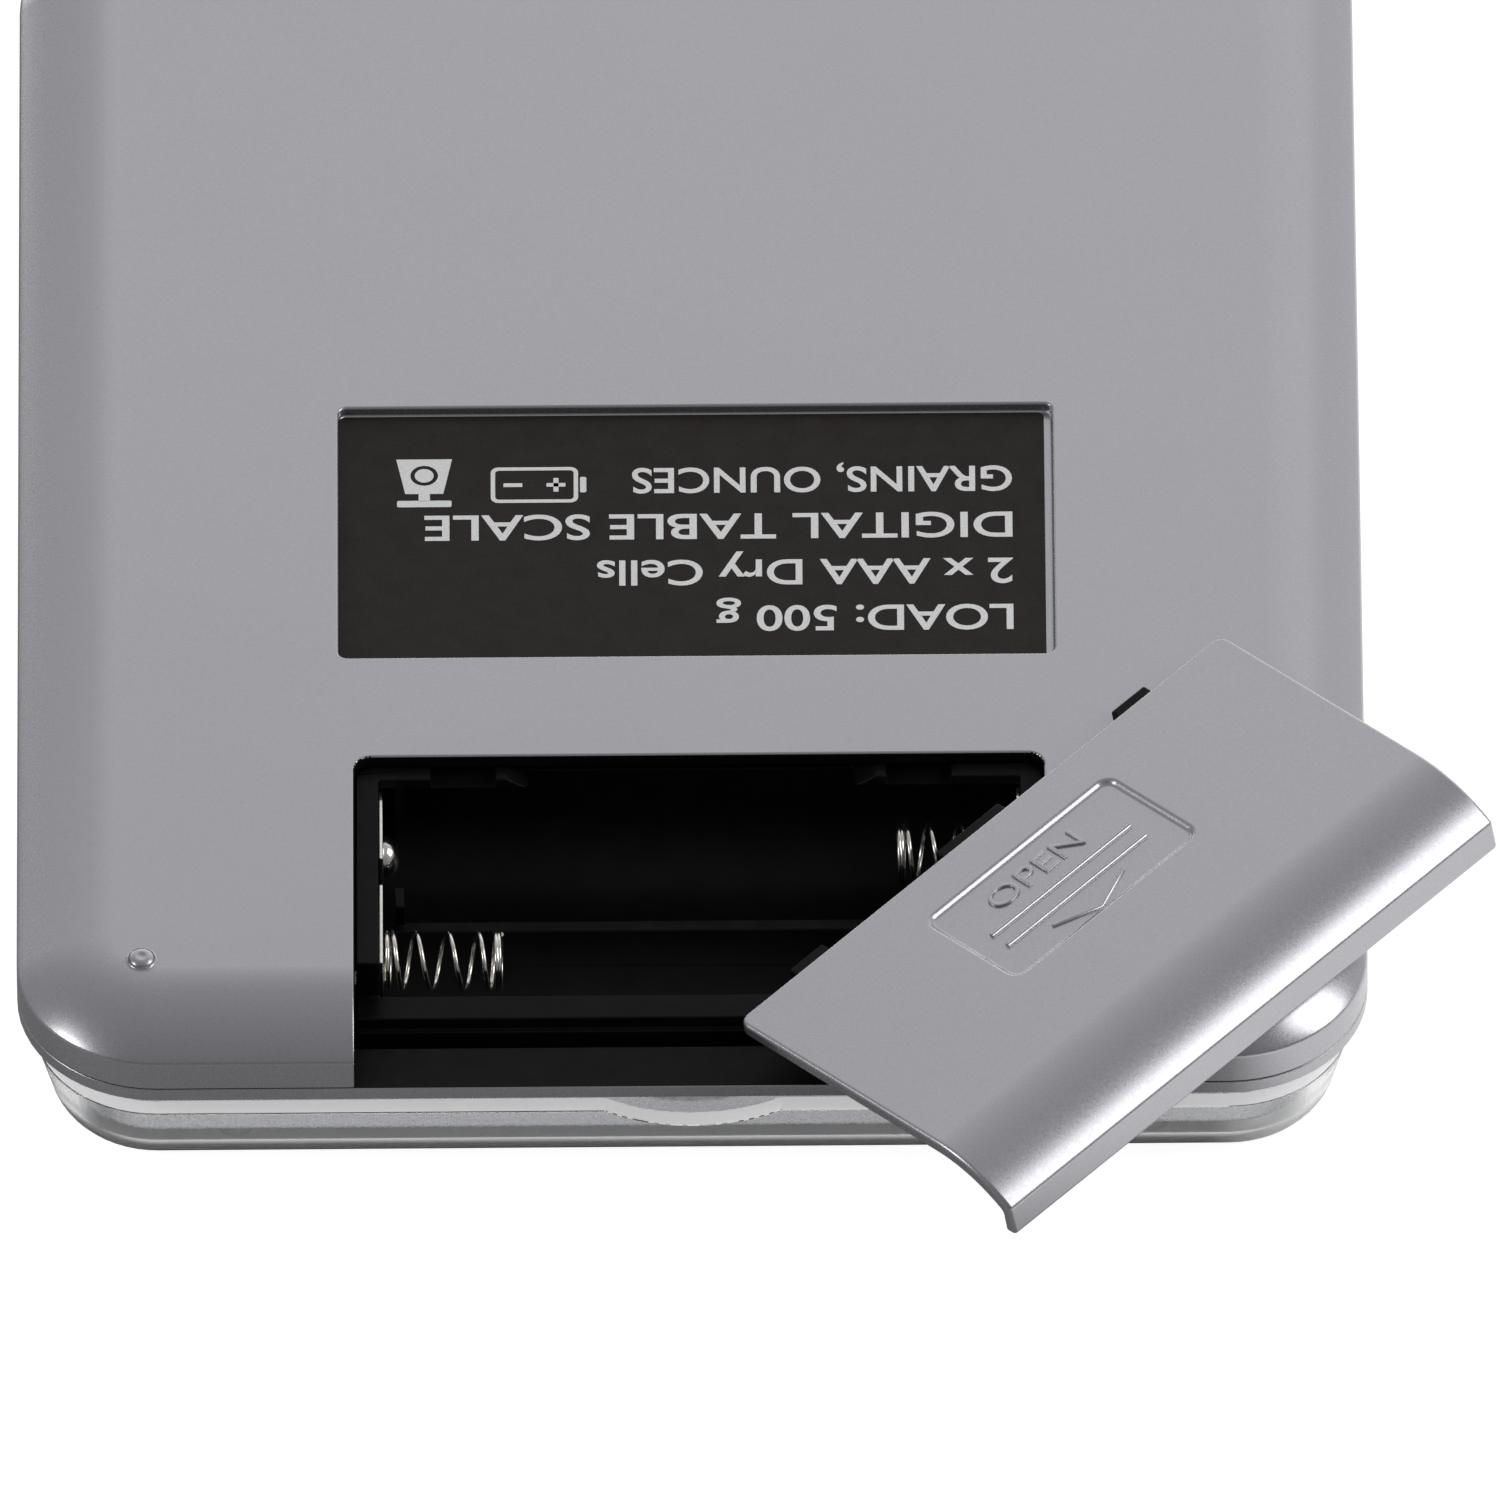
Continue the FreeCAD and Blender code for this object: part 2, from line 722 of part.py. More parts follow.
def contacts():
    node("positive_contact", contact(-1, [FAR_AXIS], [FAR_AXIS]))
    node("negative_contact", contact(-1, ["near_axis"], []))
    node("bridge_contact", contact(1, ["near_axis", FAR_AXIS], ["near_axis"]))


def spring(name, side, axis):
    """A compression spring that stands on its contact plate and points along X."""
    helix = doc.addObject("Part::Helix", "coil")
    bind(helix, Pitch="spring_pitch", Height="spring_length-spring_wire", Radius="spring_radius")
    helix.SegmentLength = 1
    wire = doc.addObject("Part::Circle", "wire")
    bind(wire, Radius="spring_wire/2", Placement__Base__x="spring_radius")
    wire.Placement.Rotation = FreeCAD.Rotation(V(1, 0, 0), 90)
    sweep = doc.addObject("Part::Sweep", "spring")
    sweep.Sections = [wire]
    sweep.Spine = (helix, [])
    sweep.Solid = True
    sweep.Frenet = True
    sweep.Placement = FreeCAD.Placement(V(), FreeCAD.Rotation(V(0, 1, 0), -90 * side))
    put(sweep, f"bay_offset+{side}*({CAVITY}-plate_wall-spring_wire/2-2*seam)", along(axis), CELL_HEIGHT)
    return node(name, sweep)


# ---- battery door ----


def battery_door():
    """The door lies on the base: it is built lid up about its inner left corner, then turned into place."""
    width = "(bay_width-2*door_gap)"
    length = "(bay_length-door_gap)"
    spare = f"({CROWN_RADIUS}-crown_run)"
    middle = f"{width}/2"
    # local axes: +X along the inner edge, -Y towards the lip, +Z out of the base
    outer = slab(width, f"{length}+past", "bay_corner-door_gap", "base_depth",
                 middle, f"-({length}+past)/2", "-base_depth")
    reach = f"({length}+{spare}+3*past)"
    round_top = crowned(f"4*{width}", reach, f"{CROWN_RADIUS}+lip_wall", "2*past", CROWN_RADIUS, "-2*past")
    put(round_top, middle, f"{reach}/2-{length}-{spare}", "-2*past")
    lid = common(outer, round_top)
    under = crowned(f"4*{width}", reach, f"{CROWN_RADIUS}+lip_wall", "2*past",
                    f"({CROWN_RADIUS}-door_wall)", "-2*past")
    put(under, middle, f"{reach}/2-{length}-{spare}+lip_wall", "-2*past-door_wall")
    front_trim = block(f"4*{width}", "2*past", "4*past", middle, f"-{length}-past", "-2*past")
    depth = "(-panel_depth)"
    panel = slab("panel_width", "panel_length", "panel_corner", "past",
                 middle, "-panel_setback-panel_length/2", depth)
    backing = slab("panel_width+2*door_wall", "panel_length+2*door_wall", "panel_corner+door_wall",
                   "door_wall", middle, "-panel_setback-panel_length/2", "-door_wall-panel_depth")
    tabs = []
    for x, wide in ((f"{middle}-side_tab_place", "side_tab"), (f"{middle}+side_tab_place", "side_tab"),
                    (middle, "middle_tab")):
        tabs.append(block(wide, "tab_reach+tab_root", "tab_wall", x, "(tab_reach-tab_root)/2",
                          "tab_sink-door_wall-tab_wall"))
    lid = cut(lid, under, front_trim)
    door = cut(join(lid, backing, *tabs), panel)
    return node("battery_door", door)


def place_door(door):
    """Lay the door on the base: turned about Z, tipped up towards its lip and banked along its edge."""
    turn = FreeCAD.Rotation(V(0, 0, 1), size("door_turn"))
    bank = FreeCAD.Rotation(V(0, 1, 0), -size("door_bank"))
    tilt = FreeCAD.Rotation(V(1, 0, 0), -size("door_tilt"))
    spot = V(
        size("door_x"),
        -size("body_length") / 2 + size("door_end"),
        size("base_height") + size("door_lift"),
    )
    door.Placement = FreeCAD.Placement(spot, turn * bank * tilt)


# ---- weighing platform and load cell ----


def platform_middle():
    return f"({FRONT}+platform_end+platform_length/2)"


def platform():
    steel = slab("platform_width", "platform_length", "platform_corner", "steel_wall",
                 0, platform_middle(), "steel_height")
    node("platform_plate", steel)
    base = "(steel_height+steel_wall)"
    plate = slab("platform_width-2*carrier_inset", "platform_length-2*carrier_inset",
                 "platform_corner-carrier_inset", "carrier_wall", 0, platform_middle(), base)
    stem = block("pad_width", "pad_length", f"bar_height-{base}", 0, bar_free_end(), base)
    bores = []
    for step in (-0.5, 0.5):
        y = f"{bar_free_end()}+({step})*bolt_pitch"
        bores.append(rod("bolt_radius+bolt_play", "bar_height+past", 0, y, 0))
        bores.append(rod("bolt_head+bolt_play", "bar_height-stem_seat", 0, y, 0))
    node("platform_carrier", cut(join(plate, stem), *bores))
    screws = []
    for step in (-0.5, 0.5):
        y = f"{bar_free_end()}+({step})*bolt_pitch"
        shank = rod("bolt_radius", "stem_seat+bolt_bite", 0, y, "bar_height-stem_seat")
        head = rod("bolt_head", "bolt_cap", 0, y, "bar_height-stem_seat-bolt_cap")
        screws.append(join(shank, head))
    node("platform_screws", grouped(screws))


def grouped(things):
    group = doc.addObject("Part::Compound", "group")
    group.Links = things
    return group


def load_cell():
    length, middle = "bar_length", f"({FRONT}+bar_end+bar_length/2)"
    bar = block("bar_width", length, "bar_thickness", 0, middle, "bar_height")
    level = "(bar_height+bar_thickness/2)"
    tools = []
    for sy in (1, -1):
        y = f"{middle}+({sy})*bar_hole_pitch/2"
        tools.append(rod("bar_hole", "bar_width+past", "-(bar_width+past)/2", y, level, TURN_TO_X))
    tools.append(block("bar_width+past", "bar_hole_pitch", "bar_hole", 0, middle, f"{level}-bar_hole/2"))
    for end in (bar_fixed_end(), bar_free_end()):
        for step in (-0.5, 0.5):
            y = f"{end}+({step})*bolt_pitch"
            tools.append(rod("bolt_radius", "bar_thickness+past", 0, y, "bar_height-past/2"))
    node("load_cell", cut(bar, *tools))
    gauges = []
    for z in ("bar_height-gauge_wall", "bar_height+bar_thickness"):
        for sy in (1, -1):
            gauges.append(block("gauge_width", "gauge_length", "gauge_wall",
                                0, f"{middle}+({sy})*bar_hole_pitch/2", z))
    node("strain_gauges", grouped(gauges))
    screws = []
    for step in (-0.5, 0.5):
        y = f"{bar_fixed_end()}+({step})*bolt_pitch"
        head = rod("bolt_head", "base_bolt_cap", 0, y, bolt_seat())
        shank = rod("bolt_radius", f"{bolt_seat()}-bar_height-bolt_short", 0, y, "bar_height+bolt_short")
        screws.append(join(head, shank))
    node("load_cell_screws", grouped(screws))


# ---- display, keys and board ----


def display_middle():
    return along("display_end")


def key_middle():
    return along("key_end")


def key_places():
    return [f"({i}*key_pitch)" for i in (-1.5, -0.5, 0.5, 1.5)]


def board_corners():
    return [
        (
            f"{sx}*(board_width/2-board_screw_inset)",
            along(f"board_end+board_length/2+{sy}*(board_length/2-board_screw_inset)"),
        )
        for sx in (1, -1)
        for sy in (1, -1)
    ]


def display():
    border = "(2*lens_border-2*lens_gap)"
    lens = block(f"display_width+{border}", f"display_length+{border}", "deck_wall/2",
                 0, display_middle(), "deck_height")
    node("display_lens", lens)
    level = f"({DECK_INSIDE}+deck_rest)"
    node("lcd_panel", block("display_width+2*glass_side", "display_length+2*glass_end", "glass_wall",
                            0, display_middle(), level))
    node("lcd_backlight", block("display_width+2*light_side", "display_length+2*light_side", "light_wall",
                                0, display_middle(), f"{level}+glass_wall"))
    strip_low = f"({level}+glass_wall)"
    strip = block("display_width", "strip_width", f"board_height-{strip_low}", 0,
                  f"{display_middle()}-display_length/2-strip_place", strip_low)
    node("zebra_strip", strip)


def circuit_board():
    board = block("board_width", "board_length", "board_wall",
                  0, along("board_end+board_length/2"), "board_height")
    holes = [
        rod("screw_radius+bolt_play", "past", x, y, "board_height-past/2")
        for x, y in board_corners()
    ]
    node("main_board", cut(board, *holes))
    screws = []
    for x, y in board_corners():
        head = rod("screw_head", "board_screw_cap", x, y, "board_height+board_wall")
        shank = rod("screw_radius", "board_wall", x, y, "board_height")
        screws.append(join(head, shank))
    node("board_screws", grouped(screws))
    top = "(board_height+board_wall)"
    chips = [
        block("controller_side", "controller_side", "controller_wall",
              "controller_x", along("board_end+board_length/2"), top),
        block("amplifier_width", "amplifier_length", "amplifier_wall",
              "amplifier_x", along("board_end+amplifier_end"), top),
        block("crystal_width", "crystal_length", "crystal_wall",
              "crystal_x", along("board_end+board_length/2"), top),
        rod("capacitor_radius", "capacitor_height", "capacitor_x", along("board_end+capacitor_end"), top),
    ]
    node("board_components", grouped(chips))
    switches = []
    low = f"({DECK_INSIDE}+key_rest+key_flange+key_stem+key_play)"
    for x in key_places():
        body = block("switch_side", "switch_side", f"board_height-{low}-plunger_reach",
                     x, key_middle(), f"{low}+plunger_reach")
        plunger = rod("plunger_radius", "2*plunger_reach", x, key_middle(), low)
        switches.append(join(body, plunger))
    node("key_switches", grouped(switches))


def keys():
    for name, x in zip(("power_key", "unit_key", "tare_key", "count_key"), key_places()):
        low = f"({DECK_INSIDE}+key_rest)"
        cap = slab("key_width", "key_length", "key_corner", f"{low}+key_flange/2-key_face",
                   x, key_middle(), "key_face")
        flange = block("key_width+2*key_border", "key_length+2*key_border", "key_flange",
                       x, key_middle(), low)
        stem = rod("stem_radius", "key_stem+seam", x, key_middle(), f"{low}+key_flange-seam")
        node(name, join(cap, flange, stem))


def case_screws():
    screws = []
    for x, y in case_screw_places():
        head = rod("screw_head", "deck_wall/2-rest_gap", x, y, "deck_height+rest_gap")
        shank = rod("screw_radius", "case_screw_length", x, y, "deck_height+rest_gap")
        screws.append(join(head, shank))
    node("case_screws", grouped(screws))


def lead(points, radius, bend):
    """A wire laid along straight runs joined by arcs, each turned with the same bend."""
    edges = []
    start = points[0]
    for before, corner, after in zip(points, points[1:], points[2:]):
        into = (corner - before).normalize()
        out = (after - corner).normalize()
        half_turn = into.getAngle(out) / 2
        back = bend * math.tan(half_turn)
        inward = (out - into).normalize()
        middle = corner + inward * (bend / math.cos(half_turn) - bend)
        edges.append(Part.LineSegment(start, corner - into * back).toShape())
        edges.append(Part.Arc(corner - into * back, middle, corner + out * back).toShape())
        start = corner + out * back
    edges.append(Part.LineSegment(start, points[-1]).toShape())
    section = Part.Wire(Part.makeCircle(radius, points[0], points[1] - points[0]))
    return Part.Wire(edges).makePipeShell([section], True, True)


def leads():
    """Wires from the two battery terminals and from the load cell to the near edge of the main board."""
    front = -size("body_length") / 2
    board_edge = front + size("board_end")
    level = size("board_height") + size("board_wall") / 2
    tail = size("bay_offset") - size("bay_width") / 2 - size("tail_reach")
    far_axis = size("near_axis") + 2 * size("cell_radius") + size("cell_rib")
    wires = []
    for axis, out in ((size("near_axis"), size("near_lead_out")), (far_axis, size("far_lead_out"))):
        y = front + axis
        wires.append(lead([V(tail, y, level), V(tail - out, y, level), V(tail - out, board_edge, level)],
                          size("lead_radius"), size("lead_bend")))
    hold("battery_leads", wires)
    side = -size("bar_width") / 2
    out = side - size("cable_out")
    y = front + size("bar_end") + size("pad_length") + size("cable_start")
    points = [V(side, y, level), V(out, y, level), V(out, board_edge, level)]
    hold("load_cell_lead", [lead(points, size("cable_radius"), size("cable_bend"))])


def hold(name, shapes):
    feature = doc.addObject("Part::Feature", "lead")
    feature.Shape = Part.makeCompound(shapes) if len(shapes) > 1 else shapes[0]
    node(name, feature)


clear_cover()
base_cover()
spec_label()
top_case()
battery_tray()
contacts()
spring("negative_spring", -1, "near_axis")
spring("bridge_spring", 1, FAR_AXIS)
door = battery_door()
platform()
load_cell()
display()
circuit_board()
keys()
case_screws()
leads()
doc.recompute()
place_door(door)
doc.recompute()

faults = [o.Label for o in doc.Objects if {"Invalid", "Error"} & set(o.State)]
faults += [s.Label for s in subparts if s.Shape.isNull() or not s.Shape.isValid()]
if faults:
    raise SystemExit(f"these objects failed: {faults}")

os.makedirs("parts", exist_ok=True)
for old in os.listdir("parts"):
    if old.endswith(".step"):
        os.remove(os.path.join("parts", old))
for part in subparts:
    part.Shape.exportStep(f"parts/{part.Label}.step")
    box = part.Shape.BoundBox
    print(f"{part.Label}: {len(part.Shape.Solids)} solids, {part.Shape.Volume:.1f} mm3, "
          f"z {box.ZMin:.2f} to {box.ZMax:.2f}")
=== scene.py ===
"""The looks of a small precision scale that lies face down on its clear cover, battery door off."""

import math

import bmesh
import bpy
from mathutils import Euler, Matrix, Vector


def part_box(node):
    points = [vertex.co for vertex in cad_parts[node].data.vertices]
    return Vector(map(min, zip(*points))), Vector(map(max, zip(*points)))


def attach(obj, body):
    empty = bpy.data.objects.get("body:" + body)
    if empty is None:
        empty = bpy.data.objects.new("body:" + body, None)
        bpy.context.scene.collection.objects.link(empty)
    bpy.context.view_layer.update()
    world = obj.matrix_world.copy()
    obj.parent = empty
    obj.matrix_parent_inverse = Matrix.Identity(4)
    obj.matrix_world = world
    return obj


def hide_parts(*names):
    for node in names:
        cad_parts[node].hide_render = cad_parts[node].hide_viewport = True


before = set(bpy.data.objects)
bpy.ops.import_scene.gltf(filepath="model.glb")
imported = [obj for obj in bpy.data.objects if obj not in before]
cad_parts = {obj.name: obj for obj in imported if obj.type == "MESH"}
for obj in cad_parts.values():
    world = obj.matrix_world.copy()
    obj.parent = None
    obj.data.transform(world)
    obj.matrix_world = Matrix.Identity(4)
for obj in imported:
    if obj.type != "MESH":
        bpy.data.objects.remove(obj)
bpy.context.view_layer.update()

MM = 0.001
scene = bpy.context.scene


def node_box(node):
    """The lowest and highest corners of a CAD node, in millimetres."""
    low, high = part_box(node)
    return low / MM, high / MM


# ---- sizes in millimetres, from the frame where it holds them ----

case_low, case_high = node_box("top_case")
cover_high = node_box("clear_cover")[1]
label_low, label_high = node_box("spec_label")

HALF_WIDTH, HALF_LENGTH = case_high.x, case_high.y
FRONT = -HALF_LENGTH
PARTING = case_high.z
BASE = PARTING + 5.85
CORNER = 11.0
CROWN_RUN, CROWN_DROP = 7.8, 3.0
CROWN_RADIUS = (CROWN_RUN**2 + CROWN_DROP**2) / (2 * CROWN_DROP)
SHELL = 1.3
FOOT_SIDE, FOOT_END = 9.85, 8.6
SCREW_SIDE, SCREW_ROWS = 9.0, (13.0, 73.0)

RIM_BAND = 1.25
TUB_INSET, TUB_DRAFT, TUB_WALL, TUB_EDGE = 3.0, 1.3, 1.2, 1.5
DECK, DECK_WALL = case_low.z, 1.1
KEY_ROW, KEY_PITCH, KEY_HOLE_WIDTH, KEY_HOLE_LENGTH = 97.0, 19.0, 14.6, 6.6
WINDOW_ROW, WINDOW_WIDTH, WINDOW_LENGTH = 110.5, 46, 15
LENS_WIDTH, LENS_LENGTH = 51, 20

COVER_INSET, COVER_WALL, COVER_FLOOR = 1.3, 1.2, 1.2
COVER_RIM, COVER_DRAFT, COVER_EDGE = cover_high.z, 1.9, 3.9
SCOOP_WIDTH, SCOOP_DEPTH = 13.7, 2.3
POST_RADIUS, POST_SIDE, POST_END = 1.4, 17.0, 7.3

BAY_WIDTH, BAY_LENGTH, BAY_CORNER, BAY_OFFSET = 54.2, 30.5, 1.3, 0.65
RECESS_WIDTH, RECESS_LENGTH, RECESS_CORNER = 56.4, 27.4, 0.7
RECESS_DEPTH, RECESS_OFFSET, RECESS_END = 0.9, 0.52, 41.4

NEAR_AXIS, CELL_PITCH, CELL_DEPTH = 14.5, 11.35, 6.6
FAR_AXIS = NEAR_AXIS + CELL_PITCH
CELL_HEIGHT = BASE - CELL_DEPTH
TRAY_RADIUS = 5.5
CAVITY = BAY_WIDTH / 2 - 1.9
RIM_BELOW, SIDE_BELOW, RIDGE_BELOW = 1.1, 2.3, 8.6
PLATE, PLATE_HALF, STOP_GAP, STOP_WALL = 0.3, 4.25, 0.9, 0.8

DOOR_GAP, DOOR_WALL, LIP_WALL = 0.25, 1.2, 1.0
DOOR_WIDTH, DOOR_LENGTH = BAY_WIDTH - 2 * DOOR_GAP, BAY_LENGTH - DOOR_GAP
DOOR_DEPTH = BASE - PARTING
DOOR_TURN, DOOR_TILT, DOOR_BANK = 44.42, 7.53, 4.81
DOOR_SPOT = (3.49, FRONT + 2.66, BASE - 1.18)
PANEL_WIDTH, PANEL_LENGTH, PANEL_CORNER = 20.4, 10.6, 1.2
PANEL_SETBACK, PANEL_DEPTH, PANEL_SLOPE = 4.1, 0.35, 0.3
TAB_REACH, TAB_WALL, SIDE_TAB, SIDE_TAB_PLACE, MIDDLE_TAB = 1.7, 1.1, 3.7, 17.9, 7.0


# ---- mesh making ----


def mesh_piece(name, points, faces):
    """A new object from points in millimetres."""
    mesh = bpy.data.meshes.new(name)
    mesh.from_pydata([Vector(p) * MM for p in points], [], faces)
    mesh.validate()
    piece = bpy.data.objects.new(name, mesh)
    scene.collection.objects.link(piece)
    return piece


def settle(piece):
    """Apply the piece's modifiers."""
    graph = bpy.context.evaluated_depsgraph_get()
    mesh = bpy.data.meshes.new_from_object(piece.evaluated_get(graph))
    piece.modifiers.clear()
    piece.data = mesh
    return piece


def rounded(half_width, half_length, corner, steps=14):
    """The points of a rounded rectangle, anticlockwise from the right-hand side."""
    corner = max(corner, 0.01)
    points = []
    for turn, (sx, sy) in enumerate(((1, 1), (-1, 1), (-1, -1), (1, -1))):
        for i in range(steps + 1):
            angle = math.radians(90 * turn + 90 * i / steps)
            points.append((
                sx * (half_width - corner) + corner * math.cos(angle),
                sy * (half_length - corner) + corner * math.sin(angle),
            ))
    return points


def stack(name, width, length, corner, profile, middle=(0, 0), steps=14):
    """A closed solid of rounded rectangles, one for each (inset, height) of the profile, lowest first."""
    points, faces = [], []
    for inset, level in profile:
        loop = rounded(width / 2 - inset, length / 2 - inset, corner - inset, steps)
        points += [(x + middle[0], y + middle[1], level) for x, y in loop]
    count = len(points) // len(profile)
    for level in range(len(profile) - 1):
        start = level * count
        for i in range(count):
            j = (i + 1) % count
            faces.append((start + i, start + j, start + count + j, start + count + i))
    faces.append(tuple(range(count))[::-1])
    faces.append(tuple(range(len(points) - count, len(points))))
    return mesh_piece(name, points, faces)


def brick(low, high, name="brick"):
    """A plain block between two corners, for cutting or joining."""
    xs, ys, zs = zip(low, high)
    points = [(x, y, z) for z in zs for y in ys for x in xs]
    faces = [(0, 2, 3, 1), (4, 5, 7, 6), (0, 1, 5, 4), (2, 6, 7, 3), (0, 4, 6, 2), (1, 3, 7, 5)]
    return mesh_piece(name, points, faces)


def turned(profile, at, axis="Z", steps=48, name="turned"):
    """A closed solid of revolution: profile is (radius, height) from its foot to its top."""
    points, faces = [], []
    for radius, height in profile:
        for i in range(steps):
            angle = 2 * math.pi * i / steps
            points.append((radius * math.cos(angle), radius * math.sin(angle), height))
    for level in range(len(profile) - 1):
        for i in range(steps):
            j = (i + 1) % steps
            a = level * steps
            faces.append((a + i, a + j, a + steps + j, a + steps + i))
    faces.append(tuple(range(steps))[::-1])
    faces.append(tuple(range(len(points) - steps, len(points))))
    quarter = math.pi / 2
    turn = {"Z": (0, 0, 0), "X": (0, quarter, 0), "-X": (0, -quarter, 0), "Y": (-quarter, 0, 0)}[axis]
    place = Matrix.Translation(at) @ Euler(turn).to_matrix().to_4x4()
    return mesh_piece(name, [place @ Vector(p) for p in points], faces)


def drum(radius, length, at, axis="Z", steps=64):
    return turned([(radius, 0), (radius, length)], at, axis, steps, "drum")


def extrude(name, outline, start, end, axis="X"):
    """A solid of one outline, its points anticlockwise, drawn out along an axis."""
    count = len(outline)
    place = {
        "X": lambda a, b, along: (along, a, b),
        "Y": lambda a, b, along: (a, along, b),
        "Z": lambda a, b, along: (a, b, along),
    }[axis]
    points = [place(a, b, along) for along in (start, end) for a, b in outline]
    faces = [(i, (i + 1) % count, count + (i + 1) % count, count + i) for i in range(count)]
    faces += [tuple(range(count))[::-1], tuple(range(count, 2 * count))]
    piece = mesh_piece(name, points, faces)
    outward(piece)
    return piece


def outward(piece):
    """Turn every face of a closed solid outwards."""
    solid = bmesh.new()
    solid.from_mesh(piece.data)
    bmesh.ops.remove_doubles(solid, verts=solid.verts, dist=1e-7)
    bmesh.ops.recalc_face_normals(solid, faces=solid.faces)
    solid.to_mesh(piece.data)
    solid.free()
    return piece


def paint(piece, material):
    piece.data.materials.clear()
    piece.data.materials.append(material)
    return piece


def shape(piece, tools, operation="DIFFERENCE", material=None):
    """Cut the tools out of the piece, or join them to it; the new faces take the tools' material."""
    for tool in tools:
        if material:
            paint(tool, material)
        step = piece.modifiers.new("step", "BOOLEAN")
        step.operation = operation
        step.solver = "EXACT"
        step.material_mode = "TRANSFER"
        step.object = tool
    settle(piece)
    for tool in tools:
        bpy.data.objects.remove(tool)
    return piece


def finish_edges(piece, width, segments=3, angle=28):
    """Small moulded rounds on the piece's edges, and smooth shading that keeps flats flat."""
    tidy = bmesh.new()
    tidy.from_mesh(piece.data)
    bmesh.ops.remove_doubles(tidy, verts=tidy.verts, dist=2e-6)
    bmesh.ops.dissolve_degenerate(tidy, edges=tidy.edges, dist=2e-6)
    tidy.to_mesh(piece.data)
    tidy.free()
    if width:
        rounds = piece.modifiers.new("rounds", "BEVEL")
        rounds.width = width * MM
        rounds.segments = segments
        rounds.limit_method = "ANGLE"
        rounds.angle_limit = math.radians(angle)
        rounds.use_clamp_overlap = False
        rounds.miter_outer = "MITER_ARC"
        settle(piece)
    piece.data.shade_smooth()
    piece.data.set_sharp_from_angle(angle=math.radians(35))
    weight = piece.modifiers.new("even_shading", "WEIGHTED_NORMAL")
    weight.keep_sharp = True
    weight.weight = 80
    return piece


def colour_top(piece, level, material, depth=0.05):
    """Give the faces that look up from one level, and down to some depth below it, their own material."""
    if piece.data.materials.find(material.name) < 0:
        piece.data.materials.append(material)
    index = piece.data.materials.find(material.name)
    for face in piece.data.polygons:
        if face.normal.z > 0.6 and level - depth < face.center.z / MM < level + 0.05:
            face.material_index = index


def wear(piece, node_name, body):
    """The finished piece stands for its CAD node and rides on its body."""
    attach(piece, body)
    if node_name:
        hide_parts(*([node_name] if isinstance(node_name, str) else node_name))
    return piece


# ---- materials ----


class Finish:
    """A material built node by node on the object's own coordinates."""

    def __init__(self, name, colour, metallic=0.0, roughness=0.5, **sockets):
        self.material = bpy.data.materials.new(name)
        self.material.use_nodes = True
        self.tree = self.material.node_tree
        self.shader = self.tree.nodes["Principled BSDF"]
        self.set("Base Color", (*colour, 1))
        self.set("Metallic", metallic)
        self.set("Roughness", roughness)
        for socket, value in sockets.items():
            self.set(socket.replace("_", " "), value)
        self.place = self.tree.nodes.new("ShaderNodeTexCoord").outputs["Object"]

    def set(self, socket, value):
        self.shader.inputs[socket].default_value = value

    def link(self, out, into):
        self.tree.links.new(out, into)

    def noise(self, size_mm, detail=2.0, stretch=None):
        """Noise whose grains are about size_mm across, stretched along an axis if asked."""
        texture = self.tree.nodes.new("ShaderNodeTexNoise")
        texture.inputs["Scale"].default_value = 1 / (size_mm * MM)
        texture.inputs["Detail"].default_value = detail
        source = self.place
        if stretch:
            mapping = self.tree.nodes.new("ShaderNodeMapping")
            mapping.inputs["Scale"].default_value = stretch
            self.link(self.place, mapping.inputs["Vector"])
            source = mapping.outputs["Vector"]
        self.link(source, texture.inputs["Vector"])
        return texture.outputs["Fac"]

    def ramp(self, source, stops):
        """A colour ramp over the source; each stop is (place, colour)."""
        node = self.tree.nodes.new("ShaderNodeValToRGB")
        points = node.color_ramp.elements
        while len(points) < len(stops):
            points.new(0.5)
        for point, (place, colour) in zip(points, stops):
            point.position = place
            point.color = (*colour, 1)
        self.link(source, node.inputs["Fac"])
        return node.outputs["Color"]

    def spread(self, source, low, high):
        """The source's 0.3 to 0.7 mapped on to low to high."""
        node = self.tree.nodes.new("ShaderNodeMapRange")
        for socket, value in (("From Min", 0.3), ("From Max", 0.7), ("To Min", low), ("To Max", high)):
            node.inputs[socket].default_value = value
        self.link(source, node.inputs["Value"])
        return node.outputs["Result"]

    def mix(self, first, second, kind="MULTIPLY", amount=1.0):
        node = self.tree.nodes.new("ShaderNodeMix")
        node.data_type = "RGBA"
        node.blend_type = kind
        node.inputs["Factor"].default_value = amount
        first_colour, second_colour, mixed_colour = 6, 7, 2
        for socket, source in ((first_colour, first), (second_colour, second)):
            if isinstance(source, tuple):
                node.inputs[socket].default_value = (*source, 1)
            else:
                self.link(source, node.inputs[socket])
        return node.outputs[mixed_colour]

    def colour(self, source):
        self.link(source, self.shader.inputs["Base Color"])

    def tone(self, source, low, high):
        """The base colour runs from low to high over the source's middle."""
        self.colour(self.ramp(source, [(0.3, low), (0.7, high)]))

    def rough(self, source):
        self.link(source, self.shader.inputs["Roughness"])

    def bump(self, source, height_mm, strength=1.0, under=None):
        node = self.tree.nodes.new("ShaderNodeBump")
        node.inputs["Strength"].default_value = strength
        node.inputs["Distance"].default_value = height_mm * MM
        self.link(source, node.inputs["Height"])
        if under:
            self.link(under, node.inputs["Normal"])
        self.link(node.outputs["Normal"], self.shader.inputs["Normal"])
        return node.outputs["Normal"]


